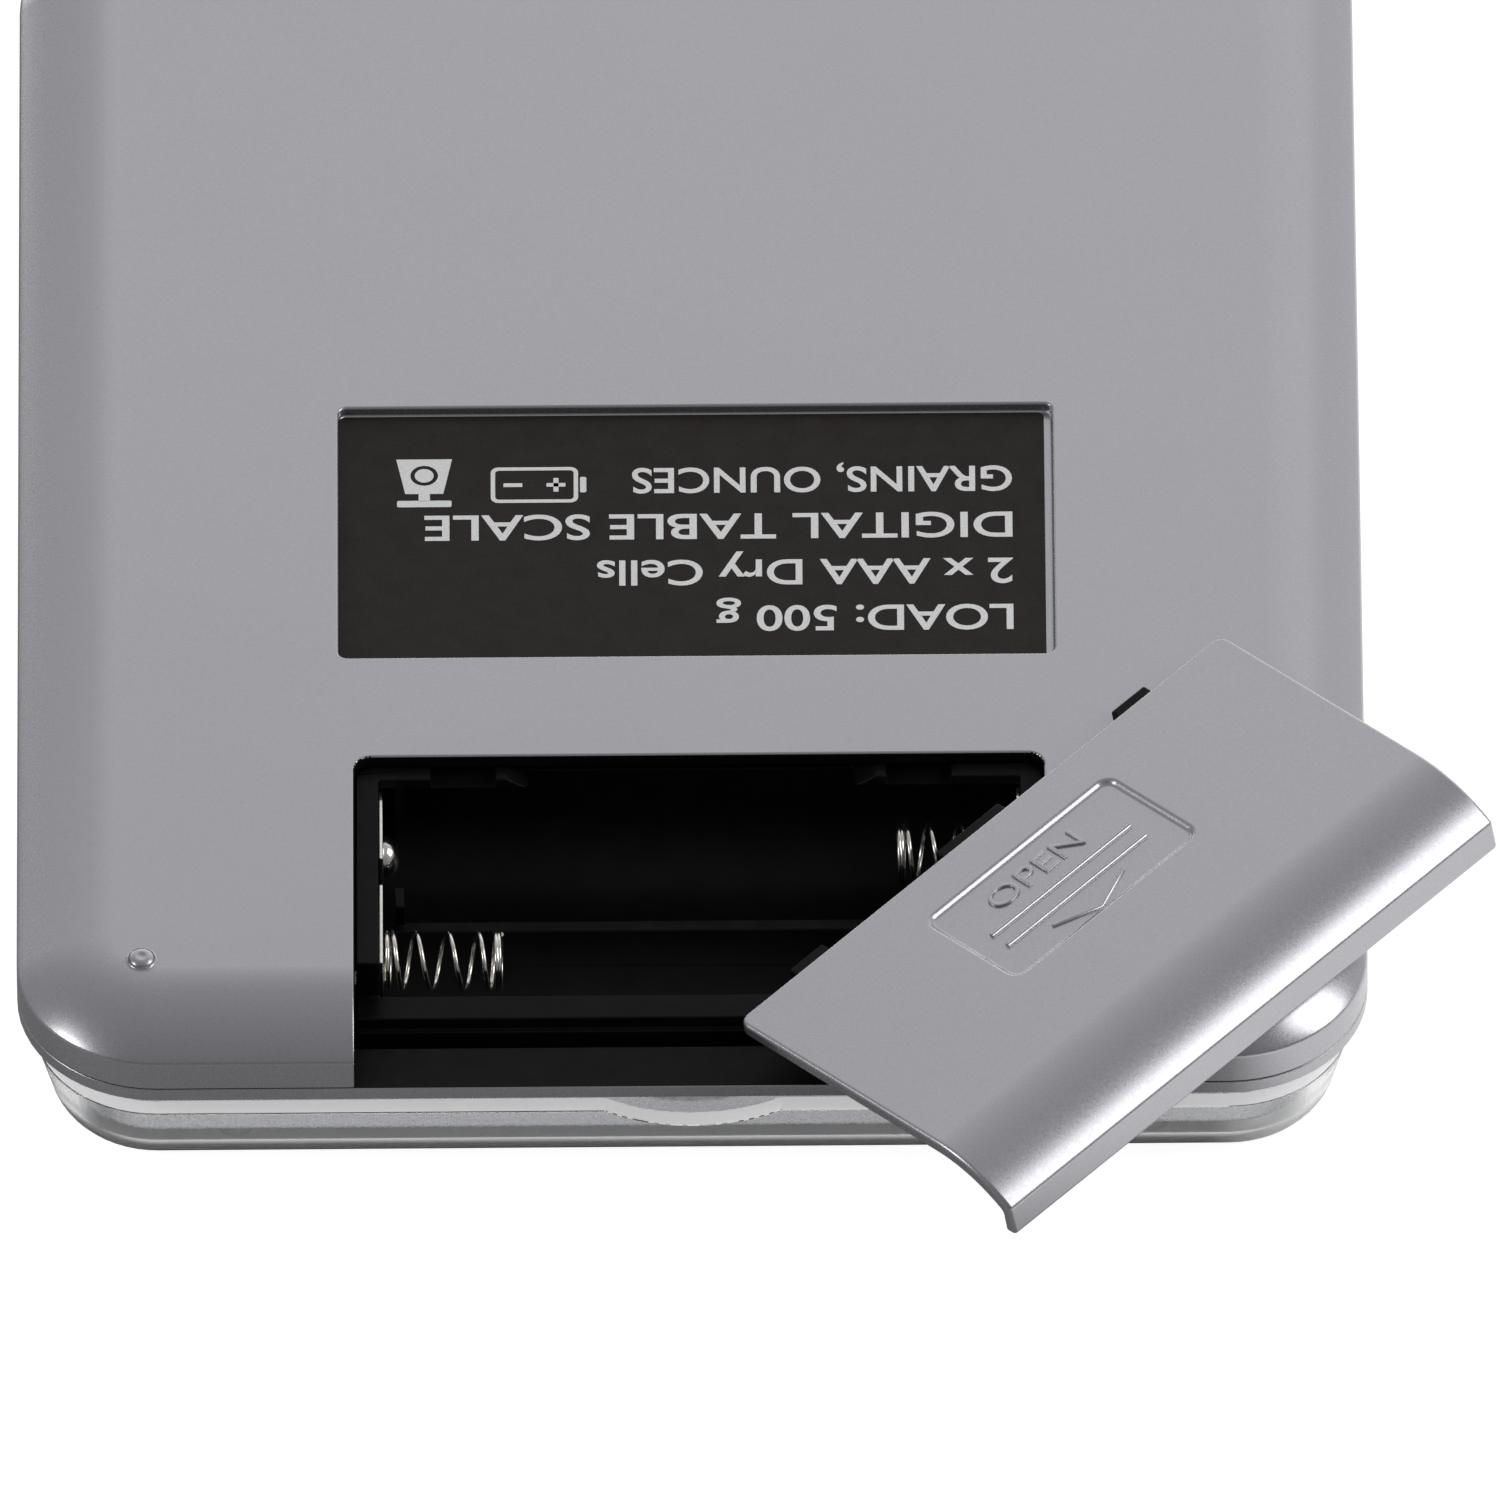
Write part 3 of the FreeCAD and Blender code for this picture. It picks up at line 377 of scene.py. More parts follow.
def silver_paint():
    """Fine metallic silver paint: flakes, a faint cloudiness, and a little orange peel."""
    finish = Finish("silver_paint", (0.44, 0.44, 0.464), metallic=0.85, roughness=0.28)
    flakes = finish.noise(0.11, 1.0)
    clouds = finish.noise(14.0, 2.0)
    flake_tone = finish.ramp(flakes, [(0.3, (0.42, 0.42, 0.442)), (0.7, (0.46, 0.459, 0.483))])
    cloud_tone = finish.ramp(clouds, [(0.3, (0.985, 0.985, 0.985)), (0.7, (1, 1, 1))])
    finish.colour(finish.mix(flake_tone, cloud_tone))
    finish.rough(finish.spread(finish.noise(0.3, 2.0), 0.25, 0.31))
    peel = finish.bump(finish.noise(0.6, 1.0), 0.0004)
    finish.bump(flakes, 0.0004, under=peel)
    return finish.material


def black_plastic():
    """Black moulding with a fine spark-eroded grain and faint rubbed patches."""
    finish = Finish("black_plastic", (0.0035, 0.0035, 0.004), roughness=0.42, Specular_IOR_Level=0.1)
    finish.tone(finish.noise(2.5, 3.0), (0.0026, 0.0026, 0.003), (0.0042, 0.0042, 0.0048))
    finish.rough(finish.spread(finish.noise(1.2, 3.0), 0.34, 0.5))
    finish.bump(finish.noise(0.12, 2.0), 0.003)
    return finish.material


def clear_plastic():
    """Clear moulded polystyrene with a few faint handling scuffs."""
    finish = Finish("clear_plastic", (0.975, 0.98, 0.985), roughness=0.03, IOR=1.55, Transmission_Weight=0.96)
    finish.rough(finish.spread(finish.noise(3.0, 4.0), 0.02, 0.07))
    finish.bump(finish.noise(6.0, 1.0), 0.002)
    return finish.material


def clear_rim_painted_glow():
    """The moulded rim of the clear cover, with a painted glow: an emission and a pale colour stand in for the
    light its walls would gather.
    """
    # painted light: a near-white colour and a faint emission make the rim glow, in place of the light its
    # clear walls would carry up
    finish = Finish("clear_rim_painted_glow", (0.93, 0.935, 0.94), roughness=0.3, IOR=1.55,
                    Transmission_Weight=0.1, Emission_Color=(1, 1, 1, 1), Emission_Strength=0.4)
    finish.tone(finish.noise(5.0, 2.0), (0.84, 0.845, 0.85), (0.97, 0.975, 0.98))
    finish.rough(finish.spread(finish.noise(0.8, 2.0), 0.24, 0.36))
    finish.bump(finish.noise(0.4, 1.0), 0.001)
    return finish.material


def label_film():
    """Dark printed film with a soft sheen and a very fine tooth."""
    finish = Finish("label_film", (0.012, 0.01, 0.0085), roughness=0.5, Specular_IOR_Level=0.22)
    finish.tone(finish.noise(0.25, 2.0), (0.0105, 0.0075, 0.0055), (0.0165, 0.012, 0.009))
    finish.rough(finish.spread(finish.noise(1.8, 3.0), 0.42, 0.58))
    finish.bump(finish.noise(0.2, 1.0), 0.002)
    return finish.material


def label_print():
    """Light grey ink, a little uneven."""
    finish = Finish("label_print", (0.5, 0.5, 0.5), roughness=0.6)
    finish.tone(finish.noise(0.15, 2.0), (0.68, 0.68, 0.68), (0.84, 0.84, 0.83))
    return finish.material


def bright_nickel():
    """Nickel plate on spring wire: bright, warm, faintly drawn."""
    finish = Finish("bright_nickel", (0.78, 0.75, 0.7), metallic=1.0, roughness=0.16)
    finish.tone(finish.noise(0.6, 3.0), (0.7, 0.67, 0.62), (0.86, 0.84, 0.79))
    finish.rough(finish.spread(finish.noise(0.2, 2.0), 0.1, 0.24))
    finish.bump(finish.noise(0.12, 1.0), 0.001)
    return finish.material


def brushed(name, colour, along, rough=(0.22, 0.4)):
    """Metal brushed along one axis."""
    finish = Finish(name, colour, metallic=1.0, roughness=0.3)
    stretch = {"X": (0.02, 1, 1), "Y": (1, 0.02, 1), "Z": (1, 1, 0.02)}[along]
    lines = finish.noise(0.12, 2.0, stretch)
    finish.tone(lines, tuple(c * 0.86 for c in colour), colour)
    finish.rough(finish.spread(lines, *rough))
    finish.bump(lines, 0.002)
    return finish.material


def moulded(name, colour, roughness=0.5, grain_mm=0.15, depth_mm=0.003, **sockets):
    """A plain moulded or coated finish with a grain and a slight mottle."""
    finish = Finish(name, colour, roughness=roughness, **sockets)
    finish.tone(finish.noise(1.5, 3.0), tuple(c * 0.88 for c in colour), colour)
    finish.rough(finish.spread(finish.noise(0.8, 2.0), roughness - 0.06, roughness + 0.06))
    finish.bump(finish.noise(grain_mm, 1.0), depth_mm)
    return finish.material


SILVER = silver_paint()
BLACK = black_plastic()
CLEAR = clear_plastic()
RIM_GLOW = clear_rim_painted_glow()
FILM = label_film()
INK = label_print()
NICKEL = bright_nickel()
STAINLESS = brushed("brushed_stainless", (0.6, 0.6, 0.6), "X")
ALUMINIUM = brushed("milled_aluminium", (0.74, 0.75, 0.76), "Y")
ZINC = brushed("zinc_plate", (0.5, 0.5, 0.52), "Z")
BOARD = moulded("solder_mask", (0.015, 0.13, 0.05), 0.3)
CHIP = moulded("moulded_chip", (0.018, 0.018, 0.018), 0.55)
GAUGE = moulded("amber_film", (0.6, 0.32, 0.08), 0.25)
GLASS = moulded("crystal_cell", (0.27, 0.33, 0.26), 0.14)
GUIDE = moulded("light_guide", (0.75, 0.78, 0.82), 0.3)
ZEBRA = moulded("zebra_silicone", (0.45, 0.42, 0.45), 0.6)
KEYCAP = moulded("key_rubber", (0.05, 0.05, 0.055), 0.5)
WIRE = moulded("red_sleeve", (0.42, 0.015, 0.012), 0.45)
LENS = moulded("clear_acrylic", (0.85, 0.88, 0.9), 0.08, Transmission_Weight=0.95, IOR=1.49)


# ---- casings ----


def crown(run, radius, top, inset=0.0, steps=12):
    """Levels of the long round between a wall and the flat above it."""
    widest = math.asin(run / radius)
    turns = [widest * (1 - i / steps) for i in range(steps + 1)]
    return [(inset + run - radius * math.sin(a), top - radius * (1 - math.cos(a))) for a in turns]


def tub(inset, draft, height, edge, low, steps=9):
    """Levels of a drafted tub from its floor to its rim, with a round between floor and wall."""
    slope = math.atan(draft / height)
    middle = inset + draft - draft * edge * (1 - math.sin(slope)) / height + edge * math.cos(slope)
    turns = [(math.pi / 2 - slope) * i / steps for i in range(steps + 1)]
    levels = [(middle - edge * math.sin(a), low + edge - edge * math.cos(a)) for a in turns]
    return levels + [(inset, low + height)]


def body_stack(name, profile):
    return stack(name, 2 * HALF_WIDTH, 2 * HALF_LENGTH, CORNER, profile)


def slab(width, length, corner, low, high, middle=(0, 0)):
    return stack("slab", width, length, corner, [(0, low), (0, high)], middle)


def block(middle_x, start, end, width, low, high):
    """A block about middle_x, between two distances from the front face and two heights."""
    left, right = middle_x - width / 2, middle_x + width / 2
    return brick((left, FRONT + start, low), (right, FRONT + end, high))


def case_screw_places():
    return [(sx * (HALF_WIDTH - SCREW_SIDE), FRONT + row) for sx in (1, -1) for row in SCREW_ROWS]


def make_foot(sx, sy):
    """A low moulded dome with a dimpled flat."""
    radius, rise, flat, sunk = 1.05, 0.45, 0.42, 0.6
    turns = [math.pi / 2 * i / 7 for i in range(8)]
    dome = [(flat + (radius - flat) * math.cos(a), rise * math.sin(a)) for a in turns]
    dimple = [(0.3, rise - 0.03), (0.2, rise - 0.09), (0.04, rise - 0.1)]
    at = Vector((sx * (HALF_WIDTH - FOOT_SIDE), sy * (HALF_LENGTH - FOOT_END), BASE))
    return turned([(radius, -sunk)] + dome + dimple, at, name="foot")


def make_base_cover():
    seat_start, seat_end, seat_width, seat_foot = 43, 57, 12, 13
    boss_radius, boss_foot, bore_radius, bore_foot = 3.0, 4.4, 1.1, 3.4
    past_front = 20
    cover = body_stack("base_shell", [(0, PARTING)] + crown(CROWN_RUN, CROWN_RADIUS, BASE))
    paint(cover, SILVER)
    hollow = body_stack("hollow", [(SHELL, PARTING - 1)] + crown(
        CROWN_RUN - SHELL, CROWN_RADIUS - SHELL, BASE - SHELL, SHELL))
    shape(cover, [hollow], material=BLACK)
    label_at = (RECESS_OFFSET, FRONT + RECESS_END + RECESS_LENGTH / 2)
    backing = slab(RECESS_WIDTH + 2 * SHELL, RECESS_LENGTH + 2 * SHELL, RECESS_CORNER + SHELL,
                   BASE - RECESS_DEPTH - SHELL, BASE - SHELL / 2, label_at)
    seat = block(0, seat_start, seat_end, seat_width, seat_foot, BASE - RECESS_DEPTH - SHELL / 2)
    bosses = [drum(boss_radius, BASE - SHELL / 2 - boss_foot, (x, y, boss_foot))
              for x, y in case_screw_places()]
    shape(cover, [backing], "UNION", BLACK)
    shape(cover, [seat, *bosses], "UNION", BLACK)
    bores = [drum(bore_radius, BASE - 2 * SHELL - bore_foot, (x, y, bore_foot))
             for x, y in case_screw_places()]
    shape(cover, bores, material=BLACK)
    recess = slab(RECESS_WIDTH, RECESS_LENGTH, RECESS_CORNER, BASE - RECESS_DEPTH, BASE + 1, label_at)
    shape(cover, [recess], material=SILVER)
    bay = slab(BAY_WIDTH, BAY_LENGTH + past_front, BAY_CORNER, PARTING - 1, BASE + 1,
               (BAY_OFFSET, FRONT + BAY_LENGTH / 2 - past_front / 2))
    shape(cover, [bay], material=BLACK)
    shape(cover, [make_foot(sx, sy) for sx in (1, -1) for sy in (1, -1)], "UNION", SILVER)
    finish_edges(cover, 0.22)
    return wear(cover, "base_cover", "scale")


def make_top_case():
    flange = PARTING - RIM_BAND
    profile = tub(TUB_INSET, TUB_DRAFT, flange - DECK, TUB_EDGE, DECK) + [(0, flange), (0, PARTING)]
    case = paint(body_stack("front_shell", profile), SILVER)
    hollow = body_stack("hollow", tub(TUB_INSET + TUB_WALL, TUB_DRAFT, flange - DECK + RIM_BAND,
                                      TUB_EDGE - 0.5, DECK + DECK_WALL))
    shape(case, [hollow], material=BLACK)
    stem_start, stem_end, stem_width = 71, 87, 14
    hole_radius, head_radius = 1.3, 2.3
    below, through = DECK - 1, DECK + 2
    cuts = [
        block(0, WINDOW_ROW - WINDOW_LENGTH / 2, WINDOW_ROW + WINDOW_LENGTH / 2, WINDOW_WIDTH,
              below, through),
        block(0, WINDOW_ROW - LENS_LENGTH / 2, WINDOW_ROW + LENS_LENGTH / 2, LENS_WIDTH,
              below, DECK + DECK_WALL / 2),
        block(0, stem_start, stem_end, stem_width, below, through),
    ]
    for place in (-1.5, -0.5, 0.5, 1.5):
        cuts.append(block(place * KEY_PITCH, KEY_ROW - KEY_HOLE_LENGTH / 2, KEY_ROW + KEY_HOLE_LENGTH / 2,
                          KEY_HOLE_WIDTH, below, through))
    for x, y in case_screw_places():
        cuts += [drum(hole_radius, 4, (x, y, below)), drum(head_radius, 1 + DECK_WALL / 2, (x, y, below))]
    shape(case, cuts, material=SILVER)
    colour_top(case, PARTING, BLACK)
    finish_edges(case, 0.14)
    return wear(case, "top_case", "scale")


def make_clear_cover():
    cover = body_stack("lid", tub(COVER_INSET, COVER_DRAFT, COVER_RIM, COVER_EDGE, 0))
    paint(cover, CLEAR)
    inside = body_stack("inside", tub(COVER_INSET + COVER_WALL, COVER_DRAFT, COVER_RIM,
                                      COVER_EDGE - COVER_WALL, COVER_FLOOR))
    scoop_radius = (SCOOP_WIDTH**2 / 4 + SCOOP_DEPTH**2) / (2 * SCOOP_DEPTH)
    scoop_at = (0, FRONT - COVER_WALL, COVER_RIM - SCOOP_DEPTH + scoop_radius)
    scoop = drum(scoop_radius, 6 * COVER_WALL, scoop_at, "Y", 160)
    shape(cover, [inside, scoop], material=CLEAR)
    post_gap = 0.05
    posts = [
        drum(POST_RADIUS, DECK - post_gap - COVER_FLOOR / 2,
             (sx * (HALF_WIDTH - POST_SIDE), sy * (HALF_LENGTH - POST_END), COVER_FLOOR / 2))
        for sx in (1, -1) for sy in (1, -1)
    ]
    shape(cover, posts, "UNION", CLEAR)
    # the rim's top faces, and the scoop's cut faces below them, take the painted glow
    colour_top(cover, COVER_RIM, RIM_GLOW, SCOOP_DEPTH + 0.1)
    finish_edges(cover, 0.18)
    return wear(cover, "clear_cover", "cover")


# ---- battery bay ----


def make_tray():
    gap, past_front = 0.1, 20
    half = BAY_WIDTH / 2 - gap
    floor, top = CELL_HEIGHT - TRAY_RADIUS - 1.0, BASE - RIM_BELOW
    near, far = NEAR_AXIS - TRAY_RADIUS, FAR_AXIS + TRAY_RADIUS
    under, ridge = BASE - SIDE_BELOW, BASE - RIDGE_BELOW
    front, shelf, end = 6.1, 6.5, BAY_LENGTH - gap
    far_wall, ledge_wall, front_drop, sky = 0.9, 1.5, 4.8, 30
    tray = slab(2 * half, end - front + past_front, BAY_CORNER - gap, floor, top,
                (BAY_OFFSET, FRONT + (end + front - past_front) / 2))
    paint(tray, BLACK)
    shape(tray, [block(0, -30, front, 100, 0, sky)], material=BLACK)
    back = block(BAY_OFFSET, BAY_LENGTH / 2, far + far_wall, 2 * half, floor, BASE - SHELL - 2 * gap)
    shape(tray, [back], "UNION", BLACK)
    channels = [drum(TRAY_RADIUS, 2 * CAVITY, (BAY_OFFSET - CAVITY, FRONT + axis, CELL_HEIGHT), "X", 96)
                for axis in (NEAR_AXIS, FAR_AXIS)]
    shape(tray, channels, material=BLACK)
    rooms = [
        block(BAY_OFFSET, near, far, 2 * CAVITY, CELL_HEIGHT, under),
        block(BAY_OFFSET, NEAR_AXIS, FAR_AXIS, 2 * CAVITY, ridge, CELL_HEIGHT + 0.5),
        block(BAY_OFFSET, near, BAY_LENGTH - ledge_wall, 2 * CAVITY, CELL_HEIGHT, sky),
        block(0, -10, near, 120, BASE - front_drop, sky),
        block(0, -10, shelf, 120, PARTING - gap, sky),
    ]
    ledge_start, ledge_end = 26, 35
    notch_width, notch_depth, slot_width = 5.1, 2.2, 1.2
    for side in (1, -1):
        rooms.append(block(side * SIDE_TAB_PLACE, ledge_start, ledge_end, notch_width,
                           BASE - notch_depth, sky))
        rooms.append(block(BAY_OFFSET + side * (CAVITY - slot_width / 2), near, far, slot_width,
                           CELL_HEIGHT - PLATE_HALF, under))
    shape(tray, rooms, material=BLACK)
    low, high, narrow, wide = BASE - 2.5, BASE + 0.3, 12.5, 16.5
    dip = extrude("dip", [(-narrow, low), (narrow, low), (wide, high), (-wide, high)],
                  FRONT + ledge_start, FRONT + ledge_end, "Y")
    shape(tray, [dip], material=BLACK)
    upper_place, upper_half, upper_drop = 4.6, 1, 4.9
    lower_place, lower_half, lower_drop, lower_rise = 4.5, 1.1, 2.8, 2.2
    stops = []
    for side, axis, way in ((-1, FAR_AXIS, 1), (1, NEAR_AXIS, -1)):
        x = BAY_OFFSET + side * (CAVITY - PLATE - STOP_GAP - STOP_WALL / 2)
        upper, lower = axis + way * upper_place, axis - way * lower_place
        stops.append(block(x, upper - upper_half, upper + upper_half, STOP_WALL,
                           under - upper_drop, under + gap))
        stops.append(block(x, lower - lower_half, lower + lower_half, STOP_WALL,
                           ridge - lower_drop, ridge + lower_rise))
    shape(tray, stops, "UNION", BLACK)
    finish_edges(tray, 0.14)
    return wear(tray, "battery_tray", "scale")


def make_contact(name, side, axes, dome_axes):
    """A nickel plate across one end of the bay, domed where a cell's button meets it."""
    dome_radius, dome_rise, sunk = 1.75, 1.3, 0.2
    tail_reach, tail_half, tail_low, tail_high = 2.7, 0.8, 8.8, 9.1
    low, high = CELL_HEIGHT - PLATE_HALF, BASE - SIDE_BELOW
    start, end = FRONT + axes[0] - PLATE_HALF, FRONT + axes[-1] + PLATE_HALF
    inner = BAY_OFFSET + side * (CAVITY - PLATE)
    xs = sorted((BAY_OFFSET + side * CAVITY, inner))
    plate = brick((xs[0], start, low), (xs[1], end, high), name)
    for axis in dome_axes:
        turns = [math.pi / 2 * i / 8 for i in range(8)]
        rise = [(dome_radius * math.cos(a) ** 0.8, dome_rise * math.sin(a)) for a in turns]
        profile = [(dome_radius, -sunk)] + rise + [(0.2, dome_rise)]
        dome = turned(profile, (inner, FRONT + axis, CELL_HEIGHT), "-X" if side > 0 else "X", 40)
        shape(plate, [dome], "UNION", NICKEL)
    if len(axes) == 1:
        wall, middle = BAY_OFFSET - CAVITY, FRONT + axes[0]
        tail = brick((wall - tail_reach, middle - tail_half, tail_low),
                     (wall + 0.1, middle + tail_half, tail_high))
        shape(plate, [tail], "UNION", NICKEL)
    paint(plate, NICKEL)
    finish_edges(plate, 0.06)
    return wear(plate, name, "scale")


# ---- geometry node trees ----


class Tree:
    """A Geometry Nodes tree with named inputs for its sizes."""

    def __init__(self, name, **sizes):
        self.tree = bpy.data.node_groups.new(name, "GeometryNodeTree")
        face = self.tree.interface
        self.sockets = {}
        self.values = sizes
        face.new_socket("Geometry", in_out="INPUT", socket_type="NodeSocketGeometry")
        for size, value in sizes.items():
            kind = "NodeSocketInt" if isinstance(value, int) else "NodeSocketFloat"
            self.sockets[size] = face.new_socket(size, in_out="INPUT", socket_type=kind).identifier
        face.new_socket("Geometry", in_out="OUTPUT", socket_type="NodeSocketGeometry")
        self.given = self.tree.nodes.new("NodeGroupInput")
        self.made = self.tree.nodes.new("NodeGroupOutput")

    def add(self, kind, inputs=(), **settings):
        """A node; inputs maps socket names or numbers to sources or plain values."""
        node = self.tree.nodes.new(kind)
        for setting, value in settings.items():
            setattr(node, setting, value)
        for socket, source in dict(inputs).items():
            if isinstance(source, bpy.types.NodeSocket):
                self.tree.links.new(source, node.inputs[socket])
            else:
                node.inputs[socket].default_value = source
        return node.outputs

    def sum(self, operation, first, second=0.0):
        return self.add("ShaderNodeMath", {0: first, 1: second}, operation=operation)[0]

    def size(self, name):
        return self.given.outputs[name]

    def end(self, geometry, material):
        """Real geometry in its material, as the export needs."""
        real = self.add("GeometryNodeRealizeInstances", {0: geometry})[0]
        dressed = self.add("GeometryNodeSetMaterial", {"Geometry": real, "Material": material})[0]
        self.tree.links.new(dressed, self.made.inputs[0])

    def grow(self, piece):
        """Run the tree on the piece and keep the result as its plain mesh."""
        step = piece.modifiers.new("grow", "NODES")
        step.node_group = self.tree
        for size, value in self.values.items():
            step[self.sockets[size]] = value
        return settle(piece)


def coil_tree(name, turns, length, radius, wire):
    """A compression spring along Z whose pitch closes up at both ends."""
    tree = Tree(name, Turns=turns, Length=length, Radius=radius, Wire=wire, Points=360)
    line = tree.add("GeometryNodeCurvePrimitiveLine")[0]
    points = tree.add("GeometryNodeResampleCurve", {"Curve": line, "Count": tree.size("Points")})[0]
    along = tree.add("GeometryNodeSplineParameter")["Factor"]
    angle = tree.sum("MULTIPLY", tree.sum("MULTIPLY", along, tree.size("Turns")), 2 * math.pi)
    closed_start, closed_end, crowding = 0.12, 0.76, 1.15
    lazy = tree.add("ShaderNodeMapRange", {"Value": along, "From Min": closed_start, "From Max": closed_end},
                    interpolation_type="SMOOTHSTEP")[0]
    open_share = 1 - crowding * turns * wire / length
    height = tree.sum("ADD", tree.sum("MULTIPLY", lazy, open_share),
                      tree.sum("MULTIPLY", along, 1 - open_share))
    place = tree.add("ShaderNodeCombineXYZ", {
        "X": tree.sum("MULTIPLY", tree.sum("COSINE", angle), tree.size("Radius")),
        "Y": tree.sum("MULTIPLY", tree.sum("SINE", angle), tree.size("Radius")),
        "Z": tree.sum("MULTIPLY", height, tree.size("Length")),
    })[0]
    coil = tree.add("GeometryNodeSetPosition", {"Geometry": points, "Position": place})[0]
    ring = tree.add("GeometryNodeCurvePrimitiveCircle", {"Resolution": 14, "Radius": tree.size("Wire")})[0]
    wound = tree.add("GeometryNodeCurveToMesh", {"Curve": coil, "Profile Curve": ring, "Fill Caps": True})[0]
    tree.end(wound, NICKEL)
    return tree


def make_spring(name, side, axis):
    """A spring that stands on its contact plate; wire is the wire's radius, radius the coil's."""
    wire, radius, length, turns, clear = 0.19, 2.3, 9.07, 7.3, 0.02
    piece = mesh_piece(name, [(0, 0, 0)], [])
    coil_tree(name + "_tree", turns, length * MM, radius * MM, wire * MM).grow(piece)
    foot = BAY_OFFSET + side * (CAVITY - PLATE - wire - clear)
    start = Vector((foot, FRONT + axis, CELL_HEIGHT)) * MM
    turn = Matrix.Rotation(-side * math.pi / 2, 4, "Y")
    piece.data.transform(Matrix.Translation(start) @ turn)
    outward(piece)
    piece.data.shade_smooth()
    return wear(piece, name, "scale")


# ---- battery door ----


def door_place():
    """Where the door lies: turned, banked along its edge and tipped towards its lip."""
    turn = Matrix.Rotation(math.radians(DOOR_TURN), 4, "Z")
    bank = Matrix.Rotation(math.radians(-DOOR_BANK), 4, "Y")
    tilt = Matrix.Rotation(math.radians(-DOOR_TILT), 4, "X")
    return Matrix.Translation(Vector(DOOR_SPOT) * MM) @ turn @ bank @ tilt


def door_section(wall_top, wall_lip, reach):
    """Half of the door's section in (y, z): the flat, the long round and the lip, inset by the walls."""
    radius = CROWN_RADIUS - wall_top
    widest = math.asin((CROWN_RUN - wall_lip) / radius)
    start = -DOOR_LENGTH + CROWN_RUN
    turns = [widest * i / 16 for i in range(17)]
    arc = [(start - radius * math.sin(a), -wall_top - radius * (1 - math.cos(a))) for a in turns]
    return [(reach, -wall_top), *arc, (-DOOR_LENGTH + wall_lip, -DOOR_DEPTH - reach)]


def make_door():
    """Built lid up about its inner left corner, +X along the inner edge and -Y towards the lip."""
    outer = door_section(0, 0, 0)
    inner = door_section(DOOR_WALL, LIP_WALL, 1)
    half = DOOR_WIDTH / 2
    door = extrude("door", [*outer, (0, -DOOR_DEPTH)], 0, DOOR_WIDTH, "X")
    paint(door, SILVER)
    corners = slab(DOOR_WIDTH, 60, BAY_CORNER - DOOR_GAP, -20, 20, (half, -30))
    shape(door, [corners], "INTERSECT", SILVER)
    finish_edges(door, 0.35, 5, 60)
    under = extrude("under", [*inner, (1, -DOOR_DEPTH - 1)], -1, DOOR_WIDTH + 1, "X")
    shape(door, [under], material=BLACK)
    panel_at = (half, -PANEL_SETBACK - PANEL_LENGTH / 2)
    backing = slab(PANEL_WIDTH + 2 * DOOR_WALL, PANEL_LENGTH + 2 * DOOR_WALL, PANEL_CORNER + DOOR_WALL,
                   -DOOR_WALL - PANEL_DEPTH, -DOOR_WALL / 2, panel_at)
    sunk, root = 0.1, 2
    tabs = [
        brick((half + place - wide / 2, -root, -DOOR_WALL - TAB_WALL + sunk),
              (half + place + wide / 2, TAB_REACH, -DOOR_WALL + sunk))
        for place, wide in ((-SIDE_TAB_PLACE, SIDE_TAB), (SIDE_TAB_PLACE, SIDE_TAB), (0, MIDDLE_TAB))
    ]
    shape(door, [backing, *tabs], "UNION", BLACK)
    panel = stack("panel", PANEL_WIDTH, PANEL_LENGTH, PANEL_CORNER,
                  [(PANEL_SLOPE, -PANEL_DEPTH), (0, 0.01), (0, 5)], panel_at)
    shape(door, [panel], material=SILVER)
    finish_edges(door, 0.2)
    door.data.transform(door_place())
    return wear(door, "battery_door", "door")


# ---- lettering and marks ----


def letters(text, width, height, thick, bold=0.0, bevel=0.0):
    """Raised letters standing on z = 0 from the origin, in millimetres, as mesh data."""
    curve = bpy.data.curves.new("letters", "FONT")
    curve.body = text
    curve.size = height / 0.73
    curve.offset = bold
    curve.extrude = thick / 2
    curve.bevel_depth = bevel
    curve.bevel_resolution = 2
    curve.resolution_u = 6
    mesh = line_mesh(curve)
    xs = [v.co.x for v in mesh.vertices]
    stretch = width / (max(xs) - min(xs))
    low = min(v.co.z for v in mesh.vertices)
    mesh.transform(Matrix.Diagonal((stretch, 1, 1, 1)) @ Matrix.Translation((-min(xs), 0, -low)))
    return mesh


def line_mesh(curve):
    """The mesh data of a curve or a text, whose object is then dropped."""
    piece = bpy.data.objects.new("line", curve)
    scene.collection.objects.link(piece)
    graph = bpy.context.evaluated_depsgraph_get()
    graph.update()
    mesh = bpy.data.meshes.new_from_object(piece.evaluated_get(graph))
    bpy.data.objects.remove(piece)
    return mesh


def add_run(curve, points, closed):
    run = curve.splines.new("POLY")
    run.points.add(len(points) - 1)
    for point, (x, y) in zip(run.points, points):
        point.co = (x, y, 0, 1)
    run.use_cyclic_u = closed


def bead(points, radius):
    """A round raised line along straight runs, half sunk at z = 0."""
    curve = bpy.data.curves.new("bead", "CURVE")
    curve.dimensions = "3D"
    curve.bevel_depth = radius
    curve.bevel_resolution = 3
    curve.use_fill_caps = True
    add_run(curve, points, False)
    return line_mesh(curve)


def sign(loops, thick):
    """A flat sign from closed loops, the inner ones holes, standing on z = 0."""
    curve = bpy.data.curves.new("sign", "CURVE")
    curve.dimensions = "2D"
    curve.fill_mode = "BOTH"
    curve.extrude = thick / 2
    for points in loops:
        add_run(curve, points, True)
    mesh = line_mesh(curve)
    mesh.transform(Matrix.Translation((0, 0, thick / 2)))
    return mesh


def ring_at(x, y, wide, high, corner):
    return [(x + a, y + b) for a, b in rounded(wide / 2, high / 2, corner, 5)]


